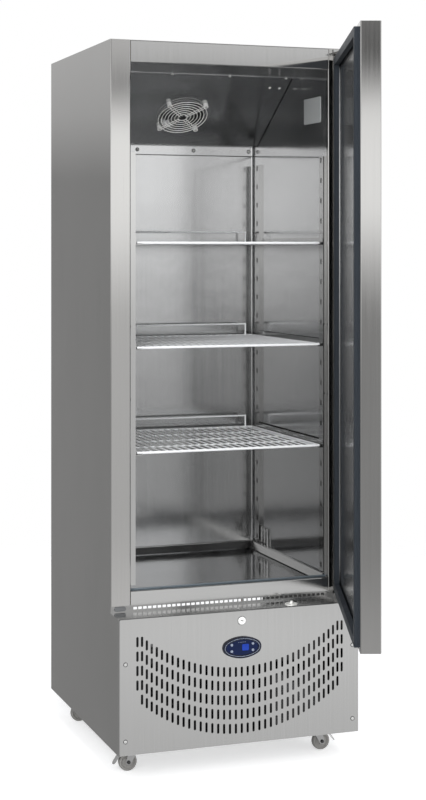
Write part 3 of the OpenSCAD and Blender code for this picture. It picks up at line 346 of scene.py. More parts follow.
@dataclass(frozen=True)
class Steel:
    """A metal finish: brushed, rolled bright or plated.

    Attributes:
        name: the material's name.
        tone: colour of the metal.
        rough: lowest and highest roughness.
        grain: cells per metre of the brush lines along X, Y and Z.
        streak: how much the lines lighten and darken the metal.
        depth: depth of the lines in metres.
        wave: height of the sheet's slow waves in metres.
        wave_scale: waves per metre.
        smudge: how much the wiped patches darken the metal.
        drawn: how far the lines draw highlights out sideways, from 0 to 1.
        shaded_space: half width and height of the space whose inside faces are darkened with painted
            shade.
    """

    name: str
    tone: Vec3
    rough: Tuple[float, float]
    grain: Vec3
    streak: float = 0.06
    depth: float = 0.000004
    wave: float = 0.0
    wave_scale: float = 3.0
    smudge: float = 0.03
    drawn: float = 0.0
    shaded_space: Optional[Tuple[float, float]] = None

    def inside(self, graph: Graph, half_width: float, height: float) -> Socket:
        """Finds the faces that look into a space in the middle of the cabinet.

        Args:
            graph: the material's nodes.
            half_width: half the width of the space.
            height: top of the space.

        Returns:
            1 on faces nearer the middle than the half width and below the height, else 0.
        """
        place = graph.node("TexCoord")
        axes = graph.node("SeparateXYZ")
        graph.link(place.outputs["Object"], axes.inputs["Vector"])
        across = graph.math("ABSOLUTE", graph.math("ADD", axes.outputs["X"], MID_X))
        between = graph.math("LESS_THAN", across, half_width)
        return graph.math("MULTIPLY", between, graph.math("LESS_THAN", axes.outputs["Z"], height))

    def build(self) -> bpy.types.Material:
        """Builds the material from brush lines, wiped patches and slow waves, with painted shade on
        faces inside the machine bay where that space is given.

        Returns:
            The material.
        """
        made, graph, shader = new_material(self.name)
        shader.inputs["Metallic"].default_value = 1.0
        if self.drawn > 0:
            shader.inputs["Anisotropic"].default_value = self.drawn
            round_z = graph.node("Tangent", direction_type="RADIAL", axis="Z")
            graph.link(round_z.outputs["Tangent"], shader.inputs["Tangent"])
        lines = place_effect(graph, Effect.BRUSH, self.grain)
        patches = place_effect(graph, Effect.SMUDGE, METAL_PATCHES)
        base = graph.ramp(lines, [(NOISE_LOW, scaled(self.tone, 1 - self.streak)),
                                  (NOISE_HIGH, scaled(self.tone, 1 + self.streak))])
        veil = graph.ramp(patches, [(NOISE_LOW, (1 - self.smudge,) * 3), (NOISE_HIGH, PLAIN_WHITE)])
        smudged_and_shaded = graph.mix(1.0, base, veil, "MULTIPLY")
        # Painted shade: faces that look into the machine bay are darkened to the bay's shade.
        if self.shaded_space:
            bay_shade_mask = self.inside(graph, *self.shaded_space)
            coat = graph.ramp(bay_shade_mask, [(0.0, PLAIN_WHITE), (1.0, BAY_PAINTED_SHADE)])
            smudged_and_shaded = graph.mix(1.0, smudged_and_shaded, coat, "MULTIPLY")
        graph.link(smudged_and_shaded, shader.inputs["Base Color"])
        middle = sum(self.rough) / 2
        lined = graph.remap(lines, self.rough[0] - middle, self.rough[1] - middle)
        wiped = graph.remap(patches, middle - PATCH_SHINE, middle + PATCH_DULL)
        graph.link(graph.math("ADD", lined, wiped), shader.inputs["Roughness"])
        under = None
        if self.wave > 0:
            slow = place_effect(graph, Effect.SMUDGE, (self.wave_scale,) * 3)
            under = graph.bump(slow, self.wave)
        graph.link(graph.bump(lines, self.depth, under), shader.inputs["Normal"])
        return made


@dataclass(frozen=True)
class Coat:
    """A plastic, rubber, enamel or foam finish.

    Attributes:
        name: the material's name.
        tone: its colour.
        rough: lowest and highest roughness.
        mottle: how much the colour darkens. It lightens by half as much.
        grain: cells per metre of the surface's texture.
        depth: depth of that texture in metres.
        coat: weight of a clear coat.
        glow: strength of its own light.
        shine: level of the plain reflection under the coat.
    """

    name: str
    tone: Vec3
    rough: Tuple[float, float]
    mottle: float = 0.08
    grain: float = 900.0
    depth: float = 0.00002
    coat: float = 0.0
    glow: float = 0.0
    shine: float = 0.5

    def build(self) -> bpy.types.Material:
        """Builds the material from fine peel and wiped patches.

        Returns:
            The material.
        """
        made, graph, shader = new_material(self.name)
        shader.inputs["Coat Weight"].default_value = self.coat
        shader.inputs["Coat Roughness"].default_value = CLEAR_COAT_ROUGHNESS
        shader.inputs["Specular IOR Level"].default_value = self.shine
        peel = place_effect(graph, Effect.PEEL, (self.grain,) * 3)
        patches = place_effect(graph, Effect.SMUDGE, COATING_PATCHES)
        base = graph.ramp(graph.blend(peel, patches, PEEL_SHARE),
                          [(NOISE_LOW, scaled(self.tone, 1 - self.mottle)),
                           (PEEL_TOP, scaled(self.tone, 1 + self.mottle / 2))])
        graph.link(base, shader.inputs["Base Color"])
        graph.link(graph.remap(patches, *self.rough), shader.inputs["Roughness"])
        graph.link(graph.bump(peel, self.depth), shader.inputs["Normal"])
        if self.glow > 0:
            graph.link(base, shader.inputs["Emission Color"])
            shader.inputs["Emission Strength"].default_value = self.glow
        return made


class Finish(Enum):
    """The object's finishes, each with its recipe."""

    # The side sheets get painted shade on their faces inside the machine bay.
    SIDE = Steel("brushed_side", (0.52, 0.515, 0.505), (0.08, 0.14), (950.0, 950.0, 7.0), 0.05,
                 0.000002, smudge=0.04, drawn=0.95, shaded_space=(0.3394, 0.425))
    FRONT = Steel("brushed_front", (0.57, 0.57, 0.565), (0.09, 0.15), (950.0, 7.0, 7.0), 0.05,
                  0.000002, smudge=0.04, drawn=0.95)
    SILL = Steel("bright_sill", (0.60, 0.60, 0.595), (0.12, 0.18), (7.0, 950.0, 950.0), 0.04,
                 0.000001)
    LINER = Steel("bright_liner", (0.67, 0.673, 0.675), (0.12, 0.19), (420.0, 420.0, 4.0), 0.03,
                  0.0000004, 0.0009, 3.2, 0.05, 0.6)
    PAN = Steel("bright_pan", (0.72, 0.725, 0.735), (0.08, 0.13), (4.0, 420.0, 420.0), 0.03,
                0.000001, 0.0008, 4.0, 0.05)
    TRIM = Steel("bright_trim", (0.52, 0.52, 0.515), (0.08, 0.14), (500.0, 500.0, 5.0), 0.04)
    COVE = Steel("shaded_cove", (0.15, 0.15, 0.15), (0.10, 0.16), (4.0, 420.0, 420.0), 0.05)
    RIM = Steel("dark_rim", (0.045, 0.05, 0.07), (0.20, 0.30), (300.0, 300.0, 300.0), 0.05)
    ZINC = Steel("plated_zinc", (0.34, 0.345, 0.35), (0.28, 0.42), (60.0, 60.0, 60.0), 0.10, 0.00001)
    CHROME = Steel("chromed_fork", (0.42, 0.42, 0.42), (0.06, 0.12), (60.0, 60.0, 60.0), 0.10)
    WIRE = Steel("bright_wire", (0.80, 0.80, 0.79), (0.16, 0.24), (200.0, 200.0, 200.0), 0.04)
    COPPER = Steel("copper_tube", (0.74, 0.40, 0.25), (0.25, 0.40), (80.0, 80.0, 80.0), 0.15)
    SHELF = Coat("white_wire_coating", (0.78, 0.79, 0.80), (0.28, 0.42), 0.05, 300.0, 0.00003, 0.3)
    WHITE = Coat("white_moulding", (0.80, 0.80, 0.77), (0.30, 0.42), 0.04)
    SCREW = Coat("plated_screw", (0.46, 0.46, 0.45), (0.25, 0.35), 0.06, 300.0, 0.00001, 0.3)
    # Painted shade: the bare label plate is darkened to the tone that it shows in shade.
    LABEL_IN_PAINTED_SHADE = Coat("shaded_blank_plate", (0.30, 0.31, 0.31), (0.40, 0.55), 0.05)
    GUARD = Coat("bright_plated_wire", (0.86, 0.86, 0.84), (0.18, 0.28), 0.05, 300.0, 0.00001, 0.8)
    RUBBER = Coat("gasket_rubber", (0.027, 0.033, 0.041), (0.42, 0.60), 0.18, 1200.0, 0.00002)
    FOAM = Coat("rigid_foam", (0.72, 0.60, 0.34), (0.80, 0.95), 0.20, 350.0, 0.0004)
    FACE = Coat("control_film", (0.006, 0.012, 0.045), (0.30, 0.42), 0.15, 800.0, 0.000004, 0.0,
                shine=0.15)
    DISPLAY = Coat("display_window", (0.010, 0.035, 0.26), (0.20, 0.30), 0.35, 500.0, 0.0, 0.0, 0.30,
                   0.2)
    KEY = Coat("key_cap", (0.22, 0.25, 0.32), (0.35, 0.45), 0.08, 900.0, 0.00001, 0.1)
    ENAMEL = Coat("black_enamel", (0.020, 0.020, 0.021), (0.30, 0.48), 0.25, 250.0, 0.00005, 0.2)
    DARK = Coat("dark_moulding", (0.035, 0.036, 0.038), (0.40, 0.55), 0.20, 700.0, 0.00004)
    GREY = Coat("grey_moulding", (0.16, 0.165, 0.17), (0.40, 0.55), 0.12, 700.0, 0.00004)
    SEALANT = Coat("joint_sealant", (0.115, 0.14, 0.16), (0.35, 0.50), 0.12, 400.0, 0.00004)
    TYRE = Coat("castor_tyre", (0.235, 0.23, 0.22), (0.45, 0.65), 0.22, 500.0, 0.00005)


class Palette:
    """Builds each finish once."""

    def __init__(self) -> None:
        """Starts with nothing built."""
        self.made: Dict[Finish, bpy.types.Material] = {}

    def get(self, finish: Finish) -> bpy.types.Material:
        """Finds a finish's material, and builds it at its first use.

        Args:
            finish: the finish.

        Returns:
            Its material.
        """
        if finish not in self.made:
            self.made[finish] = finish.value.build()
        return self.made[finish]


PALETTE = Palette()


def dress(finish: Finish, *nodes: str) -> None:
    """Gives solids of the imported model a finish.

    Args:
        finish: the finish.
        *nodes: names of the solids.
    """
    for name in nodes:
        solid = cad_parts[name]
        for place in solid.material_slots:
            place.material = PALETTE.get(finish)
        LOG.info("dressed %s with %s", name, finish.value.name)


@dataclass
class Shell:
    """A mesh in the making: points and four-sided faces, as arrays."""

    points: np.ndarray
    faces: np.ndarray

    def moved(self, shift: np.ndarray) -> "Shell":
        """Returns the shell moved by shift."""
        return Shell(self.points + shift, self.faces)

    def turned(self, turn: Euler) -> "Shell":
        """Returns the shell turned about the origin."""
        return Shell(self.points @ np.array(turn.to_matrix()).T, self.faces)

    @staticmethod
    def joined(shells: Sequence["Shell"]) -> "Shell":
        """Joins shells into one, with each shell's face numbers shifted past the points before it.

        Args:
            shells: the shells.

        Returns:
            One shell with all their points and faces.
        """
        counts = np.cumsum([0] + [len(s.points) for s in shells])
        return Shell(np.concatenate([s.points for s in shells]),
                     np.concatenate([s.faces + n for s, n in zip(shells, counts)]))


def grid_faces(rows: int, columns: int, loop_rows: bool, loop_columns: bool) -> np.ndarray:
    """Numbers the four-sided faces of a grid of points.

    Args:
        rows: points along the first parameter.
        columns: points along the second parameter.
        loop_rows: whether the last row joins the first.
        loop_columns: whether the last column joins the first.

    Returns:
        An array of faces with four point numbers each.
    """
    i = np.arange(rows if loop_rows else rows - 1)[:, None]
    j = np.arange(columns if loop_columns else columns - 1)[None, :]
    i2, j2 = (i + 1) % rows, (j + 1) % columns
    quads = np.stack([i * columns + j, i * columns + j2, i2 * columns + j2, i2 * columns + j], -1)
    return quads.reshape(-1, 4)


def lathe(profile: np.ndarray, turns: int, closed: bool = True) -> Shell:
    """Turns a profile about Z: x = r cos a, y = r sin a, z = h for every profile point.

    Args:
        profile: rows of radius and height, counterclockwise.
        turns: steps round the axis.
        closed: whether the profile's last point joins its first.

    Returns:
        The surface of revolution.
    """
    a = np.linspace(0, 2 * math.pi, turns, endpoint=False)[:, None]
    r, h = profile[:, 0][None, :], profile[:, 1][None, :]
    points = np.stack([r * np.cos(a), r * np.sin(a), np.broadcast_to(h, (turns, len(profile)))], -1)
    return Shell(points.reshape(-1, 3), grid_faces(turns, len(profile), True, closed)[:, ::-1])


def framed_loop(profile: np.ndarray, low: Tuple[float, float], high: Tuple[float, float]) -> Shell:
    """Carries a closed profile round a rectangle with mitred corners.

    Each profile point is (inset, depth). Its loop is the rectangle drawn in by the inset, at that
    depth along Y, so a corner is where two neighbouring runs meet at 45 degrees.

    Args:
        profile: rows of inset and depth, in metres.
        low: lowest X and Z of the rectangle.
        high: highest X and Z of the rectangle.

    Returns:
        The closed frame, lying in the XZ plane.
    """
    u, v = profile[:, 0], profile[:, 1]
    x = np.stack([low[0] + u, high[0] - u, high[0] - u, low[0] + u])
    z = np.stack([low[1] + u, low[1] + u, high[1] - u, high[1] - u])
    points = np.stack([x, np.broadcast_to(v, x.shape), z], -1).reshape(-1, 3)
    return Shell(points, grid_faces(4, len(profile), True, True))


def plate(width: float, height: float, thick: float, corner: float, edge: float) -> Shell:
    """A rounded plate in the XY plane, as rings of one outline drawn in towards its middle.

    The outline is a rectangle with quarter-circle corners. The rings go up the rim, over a rounded
    edge and across the top to the middle.

    Args:
        width: size along X.
        height: size along Y.
        thick: size along Z.
        corner: radius of the corners in plan.
        edge: radius of the rounded top edge, less than the corners' radius.

    Returns:
        The plate, closed on top and open below, with its foot at Z = 0.
    """
    steps, bends, last_ring = 8, 5, 0.9
    angle = np.repeat(np.arange(4) * QUARTER, steps) + np.tile(np.linspace(0, QUARTER, steps), 4)
    side_x, side_y = np.repeat([1, -1, -1, 1], steps), np.repeat([1, 1, -1, -1], steps)
    bend = np.linspace(0, QUARTER, bends)
    inset = np.concatenate([[0.0], edge * (1 - np.cos(bend)), [corner * last_ring]])
    level = np.concatenate([[0.0], thick - edge + edge * np.sin(bend), [thick]])
    radius = (corner - inset)[:, None]
    x = side_x * (width / 2 - corner) + radius * np.cos(angle)
    y = side_y * (height / 2 - corner) + radius * np.sin(angle)
    rings = np.stack([x, y, np.broadcast_to(level[:, None], x.shape)], -1)
    middle = np.broadcast_to(np.array([0, 0, thick]), (1, 4 * steps, 3))
    points = np.concatenate([rings, middle]).reshape(-1, 3)
    return Shell(points, grid_faces(len(level) + 1, 4 * steps, False, True))


def dome(radius: float, rise: float, turns: int = 20) -> Shell:
    """A low domed head: r = radius cos t, z = rise sin t, with t from 0 to a quarter turn.

    Args:
        radius: radius of its foot.
        rise: height of its middle.
        turns: steps round it.

    Returns:
        The head, open below, with its foot at Z = 0.
    """
    steps = 6
    t = np.linspace(0, QUARTER, steps)
    return lathe(np.stack([radius * np.cos(t), rise * np.sin(t)], -1), turns, closed=False)


def rod(start: np.ndarray, end: np.ndarray, radius: float, turns: int = 12) -> Shell:
    """A round bar from start to end: a circle of the radius carried along, with domed ends.

    Args:
        start: middle of one end.
        end: middle of the other.
        radius: radius of the bar.
        turns: steps round it.

    Returns:
        The closed bar.
    """
    along = Vector(end - start)
    steps, bulge = 4, radius * 0.3
    t = np.linspace(0, QUARTER, steps)
    foot = np.stack([radius * np.sin(t), -bulge * np.cos(t)], -1)
    head = np.stack([radius * np.cos(t), along.length + bulge * np.sin(t)], -1)
    shell = lathe(np.concatenate([foot, head]), turns, closed=False)
    return shell.turned(along.to_track_quat("Z", "Y").to_euler()).moved(start)


def seat(radius: float, width: float = 0.0017, thick: float = 0.0005, turns: int = 24) -> Shell:
    """A thin ring round a screw's head, standing up along Z, with its outer edge bevelled.

    Args:
        radius: radius of its hole.
        width: from the hole to the outer edge.
        thick: height of the ring.
        turns: steps round it.

    Returns:
        The closed ring.
    """
    bevel_width, bevel_foot = width * 0.7, thick * 0.6
    ring = np.array([[radius, 0], [radius + width, 0], [radius + width, bevel_foot],
                     [radius + bevel_width, thick], [radius, thick]])
    return lathe(ring, turns)


def piece(name: str, shell: Shell, finish: Finish, body: str,
          replaced: Sequence[str] = (), smooth: bool = True) -> bpy.types.Object:
    """Puts a shell into the scene as a piece that rides on a body.

    Args:
        name: the piece's name.
        shell: its surface, in the shared frame.
        finish: its finish.
        body: the body that it moves with.
        replaced: solids that it stands for.
        smooth: whether its faces are shaded smooth.

    Returns:
        The new object.
    """
    mesh = bpy.data.meshes.new(name)
    mesh.from_pydata(shell.points.tolist(), [], shell.faces.tolist())
    mesh.validate()
    if smooth:
        mesh.shade_smooth()
    else:
        mesh.shade_flat()
    mesh.materials.append(PALETTE.get(finish))
    made = bpy.data.objects.new(name, mesh)
    bpy.context.scene.collection.objects.link(made)
    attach(made, body)
    if replaced:
        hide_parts(*replaced)
    LOG.info("piece %s: %d faces on %s", name, len(shell.faces), body)
    return made


@dataclass
class Cabinet:
    """The outer sheets, the insulation and the fittings on the front.

    Plate sizes here and below are width, height, thickness, corner radius and edge radius.
    """

    ledge: float = 0.432
    box_foot: float = 0.449
    blank: Tuple[float, ...] = (0.032, 0.012, 0.0022, 0.005, 0.0008)
    blank_at: Tuple[float, float] = (-0.312, 0.006)
    screw_head: float = 0.0042
    screw_lift: float = 0.0002
    grille_y: float = -0.078
    grille_screw_x: Tuple[float, ...] = (-0.322, 0.322)
    grille_screw_z: Tuple[float, ...] = (0.114, 0.314)
    strip_y: float = 0.5738
    strip_z: float = 1.691
    strip_screw_x: Tuple[float, ...] = (-0.2685, -0.0895, 0.0895, 0.2685)

    def build(self) -> None:
        """Dresses the sheets and adds the blanking plate and the screws' seats."""
        dress(Finish.SIDE, "side_panel_left", "side_panel_right")
        dress(Finish.FRONT, "roof_panel", "grille_panel")
        dress(Finish.SILL, "front_sill")
        dress(Finish.ZINC, "rear_panel", "base_tray")
        dress(Finish.FOAM, "foam_left", "foam_right", "foam_top", "foam_back", "foam_floor")
        dress(Finish.TRIM, "hinge_brackets")
        dress(Finish.SCREW, "pan_head_screws")
        self.blanking_plate()
        self.screw_seats()

    def blanking_plate(self) -> None:
        """Adds the small grey plate that covers the unused hinge place on the left."""
        middle = at(*self.blank_at, (self.ledge + self.box_foot) / 2)
        piece("hinge_blanking_plate", plate(*self.blank).turned(FORWARD).moved(middle), Finish.GREY,
              "cabinet")

    def screw_seats(self) -> None:
        """Adds the thin dark rings under the heads of the screws that show from the front."""
        screws = [(x, self.grille_y, z) for x in self.grille_screw_x for z in self.grille_screw_z]
        screws += [(x, self.strip_y, self.strip_z) for x in self.strip_screw_x]
        rings = [seat(self.screw_head).turned(FORWARD).moved(at(x, y - self.screw_lift, z))
                 for x, y, z in screws]
        piece("screw_seats", Shell.joined(rings), Finish.DARK, "cabinet")


@dataclass
class ColdRoom:
    """The liner, pan, uprights, cover, guard and shelves, with the trim on them.

    A head is the radius and rise of a dome. A gap is the distance of a fold's middle line from the
    side walls and from the rear wall.
    """

    wall: float = 0.284
    depth: float = 0.575
    front: float = 0.030
    label: Tuple[float, ...] = (0.120, 0.072, 0.0008, 0.004, 0.0003)
    label_at: Tuple[float, float] = (0.110, 1.781)
    plug_head: Tuple[float, float] = (0.003, 0.0012)
    plugs: Tuple[Tuple[int, float, float], ...] = (
        (-1, 0.0045, 1.1857), (-1, 0.0045, 0.9934), (-1, 0.0045, 0.5017), (1, 0.0045, 1.184),
        (1, 0.0045, 0.992))
    cover_slope: float = 33.0
    rivet_head: Tuple[float, float] = (0.0042, 0.0016)
    rivets: Tuple[Vec3, ...] = ((0.2294, 0.2973, 1.8614), (0.2598, 0.2980, 1.8610))
    strip_z: float = 1.676
    strip_gap: Tuple[float, float] = (0.001, 0.0018)
    strip_hem: float = 0.0014
    wall_fold_drop: float = 0.030
    pan: float = 0.471
    rim: float = 0.022
    pan_gap: Tuple[float, float] = (0.0025, 0.0025)
    pan_hem: float = 0.0019
    cove_foot: float = 0.002
    rear_cove: float = 0.010
    side_cove: float = 0.012
    sealant: float = 0.0026
    sealant_y: float = 0.016
    sealant_lift: float = 0.0175

    def build(self) -> None:
        """Dresses the cold room's solids and adds its plate, plugs, rivets, folds and pan edges."""
        dress(Finish.LINER, "inner_liner", "evaporator_cover")
        dress(Finish.PAN, "floor_pan")
        dress(Finish.TRIM, "pilasters", "shelf_runners")
        dress(Finish.GUARD, "fan_guard")
        dress(Finish.WIRE, "corner_bracket")
        dress(Finish.ZINC, "evaporator_coil")
        dress(Finish.ENAMEL, "fan_motors")
        dress(Finish.DARK, "evaporator_fan_blade")
        dress(Finish.SHELF, "shelf_top", "shelf_middle", "shelf_bottom")
        self.shaded_blank_plate()
        self.wall_plugs()
        self.cover_rivets()
        self.folds()
        self.pan_edges()

    def shaded_blank_plate(self) -> None:
        """Adds the bare plate on the right wall, darkened as painted shade."""
        shell = plate(*self.label).turned(Euler((QUARTER, 0, -QUARTER)))
        piece("blank_label_plate", shell.moved(at(self.wall, *self.label_at)), Finish.LABEL_IN_PAINTED_SHADE,
              "cabinet")

    def wall_plugs(self) -> None:
        """Adds the dark plugs in the side walls, close to the opening."""
        heads = [dome(*self.plug_head).turned(Euler((0, -side * QUARTER, 0)))
                 .moved(at(side * self.wall, y, z)) for side, y, z in self.plugs]
        piece("wall_plugs", Shell.joined(heads), Finish.DARK, "cabinet")

    def cover_rivets(self) -> None:
        """Adds the two bright rivets at the top right of the sloping cover."""
        turn = Euler((math.pi - math.radians(self.cover_slope), 0, 0))
        heads = [dome(*self.rivet_head).turned(turn).moved(at(*place)) for place in self.rivets]
        piece("cover_rivets", Shell.joined(heads), Finish.GUARD, "cabinet")

    def folds(self) -> None:
        """Adds the folded hems along the strip under the cover and across the right wall."""
        x, y, z = self.wall - self.strip_gap[0], self.depth - self.strip_gap[1], self.strip_z
        lines = [(at(-x, y, z), at(x, y, z)),
                 (at(x, y, z), at(x, self.front, z - self.wall_fold_drop))]
        bars = [rod(*line, self.strip_hem) for line in lines]
        piece("strip_hems", Shell.joined(bars), Finish.TRIM, "cabinet")

    def pan_edges(self) -> None:
        """Adds the hemmed edges of the pan's rim, its sloping coves and the bead along its front.

        A cove is a wedge: a sloping face from the rim down to the floor of the pan, with an upright
        face and a level one behind it.
        """
        x, y, front = self.wall - self.pan_gap[0], self.depth - self.pan_gap[1], self.front
        top, low = self.pan + self.rim, self.pan + self.cove_foot
        lines = [(at(-x, y, top), at(x, y, top)), (at(x, y, top), at(x, front, top)),
                 (at(-x, y, top), at(-x, front, top))]
        hems = [rod(*line, self.pan_hem) for line in lines]
        piece("pan_hems", Shell.joined(hems), Finish.WIRE, "cabinet")
        toe_x, toe_y = x - self.side_cove, y - self.rear_cove
        rear = np.array([at(-x, y, top), at(x, y, top), at(x, toe_y, low), at(-x, toe_y, low),
                         at(-x, y, low), at(x, y, low)])
        wedge = Shell(rear, np.array([[0, 1, 2, 3], [0, 4, 5, 1], [3, 2, 5, 4]]))
        piece("pan_rear_cove", wedge, Finish.COVE, "cabinet", smooth=False)
        side = np.array([at(x, y, top), at(x, front, top), at(toe_x, front, low),
                         at(toe_x, toe_y, low), at(x, front, low), at(x, y, low)])
        slope = Shell(side, np.array([[0, 1, 2, 3], [1, 0, 5, 4], [3, 2, 4, 5]]))
        piece("pan_side_cove", slope, Finish.WIRE, "cabinet", smooth=False)
        z = self.pan + self.sealant_lift
        bead = rod(at(-x, self.sealant_y, z), at(x, self.sealant_y, z), self.sealant)
        piece("pan_sealant", bead, Finish.SEALANT, "cabinet")


@dataclass
class MachineBay:
    """The controller, lock, switch and the machinery behind the grille.

    A lift is how far a detail stands in front of the panel.
    """

    panel_y: float = -0.078
    control_z: float = 0.334
    window: Tuple[float, ...] = (0.019, 0.017, 0.0012, 0.003, 0.0004)
    window_x: float = 0.009
    face_lift: float = 0.004
    oval: Tuple[float, float] = (0.0490, 0.0235)
    line_half: float = 0.0005
    line_height: float = 0.0006
    line_lift: float = 0.005
    line_steps: int = 96
    lamp_head: Tuple[float, float] = (0.0011, 0.0005)
    lamp_turns: int = 12
    lamp_x: Tuple[float, ...] = (-0.010, -0.004, 0.002, 0.008)
    lamp_rise: float = 0.014
    # Corners of the black sheet of painted shade behind the grille's left slots.
    shade_sheet_box: Tuple[Vec3, Vec3] = ((-0.337, -0.006, 0.080), (-0.229, 0.0, 0.424))
    shade_sheet_corner: float = 0.003
    shade_sheet_edge: float = 0.002
    lock_z: float = 0.4045
    collar: float = 0.0105
    collar_ring: float = 0.0013
    key_slot: Tuple[float, ...] = (0.0072, 0.0020, 0.0004, 0.0009, 0.0002)
    key_tilt: float = 0.4
    key_lift: float = 0.0026

    def build(self) -> None:
        """Dresses the bay's solids and adds the controller's and the lock's details and a black sheet of
        painted shade behind the grille's left slots.
        """
        dress(Finish.RIM, "controller_bezel")
        dress(Finish.GUARD, "lock_body", "lock_barrel", "lock_bolt")
        dress(Finish.FACE, "controller_face")
        dress(Finish.KEY, "button_upper_left", "button_lower_left", "button_upper_right",
              "button_lower_right")
        dress(Finish.WHITE, "door_switch_body", "door_switch_plunger")
        dress(Finish.ENAMEL, "compressor", "condenser_coil", "condenser_shroud")
        dress(Finish.DARK, "condenser_fan_blade")
        dress(Finish.COPPER, "refrigerant_pipes")
        dress(Finish.GREY, "drip_tray", "electrical_box")
        self.display_window()
        self.control_line()
        self.indicator_lamps()
        self.lock_details()
        self.bay_shade_sheet()

    def display_window(self) -> None:
        """Adds the blank display on the controller's face."""
        middle = at(self.window_x, self.panel_y - self.face_lift, self.control_z)
        piece("display_window", plate(*self.window).turned(FORWARD).moved(middle), Finish.DISPLAY,
              "cabinet")

    def control_line(self) -> None:
        """Adds the bright line round the controller's face.

        It is a thin closed frame whose middle line is an ellipse: x = a cos t, z = b sin t.
        """
        t = np.linspace(0, 2 * math.pi, self.line_steps, endpoint=False)[:, None]
        a, b = self.oval
        corners = np.array([[-1, 0], [1, 0], [1, 1], [-1, 1]])
        across = corners * np.array([self.line_half, self.line_height])
        u, v = across[:, 0][None, :], across[:, 1][None, :]
        depth = np.broadcast_to(-v, (self.line_steps, len(corners)))
        points = np.stack([(a + u) * np.cos(t), depth, (b + u) * np.sin(t)], -1)
        line = Shell(points.reshape(-1, 3), grid_faces(self.line_steps, len(corners), True, True))
        middle = at(0, self.panel_y - self.line_lift, self.control_z)
        piece("control_line", line.moved(middle), Finish.KEY, "cabinet")

    def indicator_lamps(self) -> None:
        """Adds the row of small lamps over the display."""
        y, z = self.panel_y - self.face_lift, self.control_z + self.lamp_rise
        lamps = [dome(*self.lamp_head, self.lamp_turns).turned(FORWARD).moved(at(x, y, z))
                 for x in self.lamp_x]
        piece("indicator_lamps", Shell.joined(lamps), Finish.KEY, "cabinet")

    def lock_details(self) -> None:
        """Adds the dark key slot and the ring under the lock's collar."""
        slot = plate(*self.key_slot).turned(Euler((QUARTER, self.key_tilt, 0)))
        piece("key_slot", slot.moved(at(0, self.panel_y - self.key_lift, self.lock_z)), Finish.DARK,
              "cabinet")
        ring = seat(self.collar, self.collar_ring).turned(FORWARD)
        piece("lock_seat", ring.moved(at(0, self.panel_y, self.lock_z)), Finish.DARK, "cabinet")

    def bay_shade_sheet(self) -> None:
        """Adds a soft black strip between the condenser and the left side, behind the grille's left
        slots, as painted shade that keeps those slots dark.
        """
        (x0, y0, z0), (x1, y1, z1) = self.shade_sheet_box
        strip = plate(x1 - x0, z1 - z0, y1 - y0, self.shade_sheet_corner, self.shade_sheet_edge)
        middle = at((x0 + x1) / 2, y1, (z0 + z1) / 2)
        piece("bay_shade_sheet", strip.turned(FORWARD).moved(middle), Finish.DARK, "cabinet")


@dataclass
class Door:
    """The door's skin, pan and gasket. The gasket is drawn shut and turned about the hinge pin."""

    pin: Tuple[float, float] = (0.325, -0.038)
    opened: float = 70.3
    low: Tuple[float, float] = (-0.665, 0.442)
    high: Tuple[float, float] = (0.015, 1.927)
    rim: float = 0.024
    inset: float = 0.011
    width: float = 0.022
    proud: float = 0.0132
    folds: int = 4
    fold_depth: float = 0.0016
    fold_steps: int = 29

    def build(self) -> None:
        """Dresses the door's solids and adds the bellows gasket."""
        dress(Finish.SIDE, "door_skin")
        dress(Finish.LINER, "door_liner")
        dress(Finish.FOAM, "door_foam")
        dress(Finish.WHITE, "door_bushes")
        self.gasket()

    def gasket(self) -> None:
        """Adds the gasket: a folded profile carried round the door's edge with mitred corners.

        Across the profile, a wall's inset grows by the fold's depth times the squared sine of the
        way up it, once for each fold.
        """
        t = np.linspace(0, 1, self.fold_steps)
        fold = self.fold_depth * np.sin(t * math.pi * self.folds) ** 2
        outer = np.stack([self.inset + fold, self.rim + t * self.proud], -1)
        inner = np.stack([self.inset + self.width - fold, self.rim + t * self.proud], -1)[::-1]
        shell = framed_loop(np.concatenate([outer, inner]), self.low, self.high)
        shell = shell.turned(Euler((0, 0, math.radians(self.opened)))).moved(at(*self.pin, 0))
        piece("bellows_gasket", shell, Finish.RUBBER, "door", ["door_gasket"],
              smooth=False)


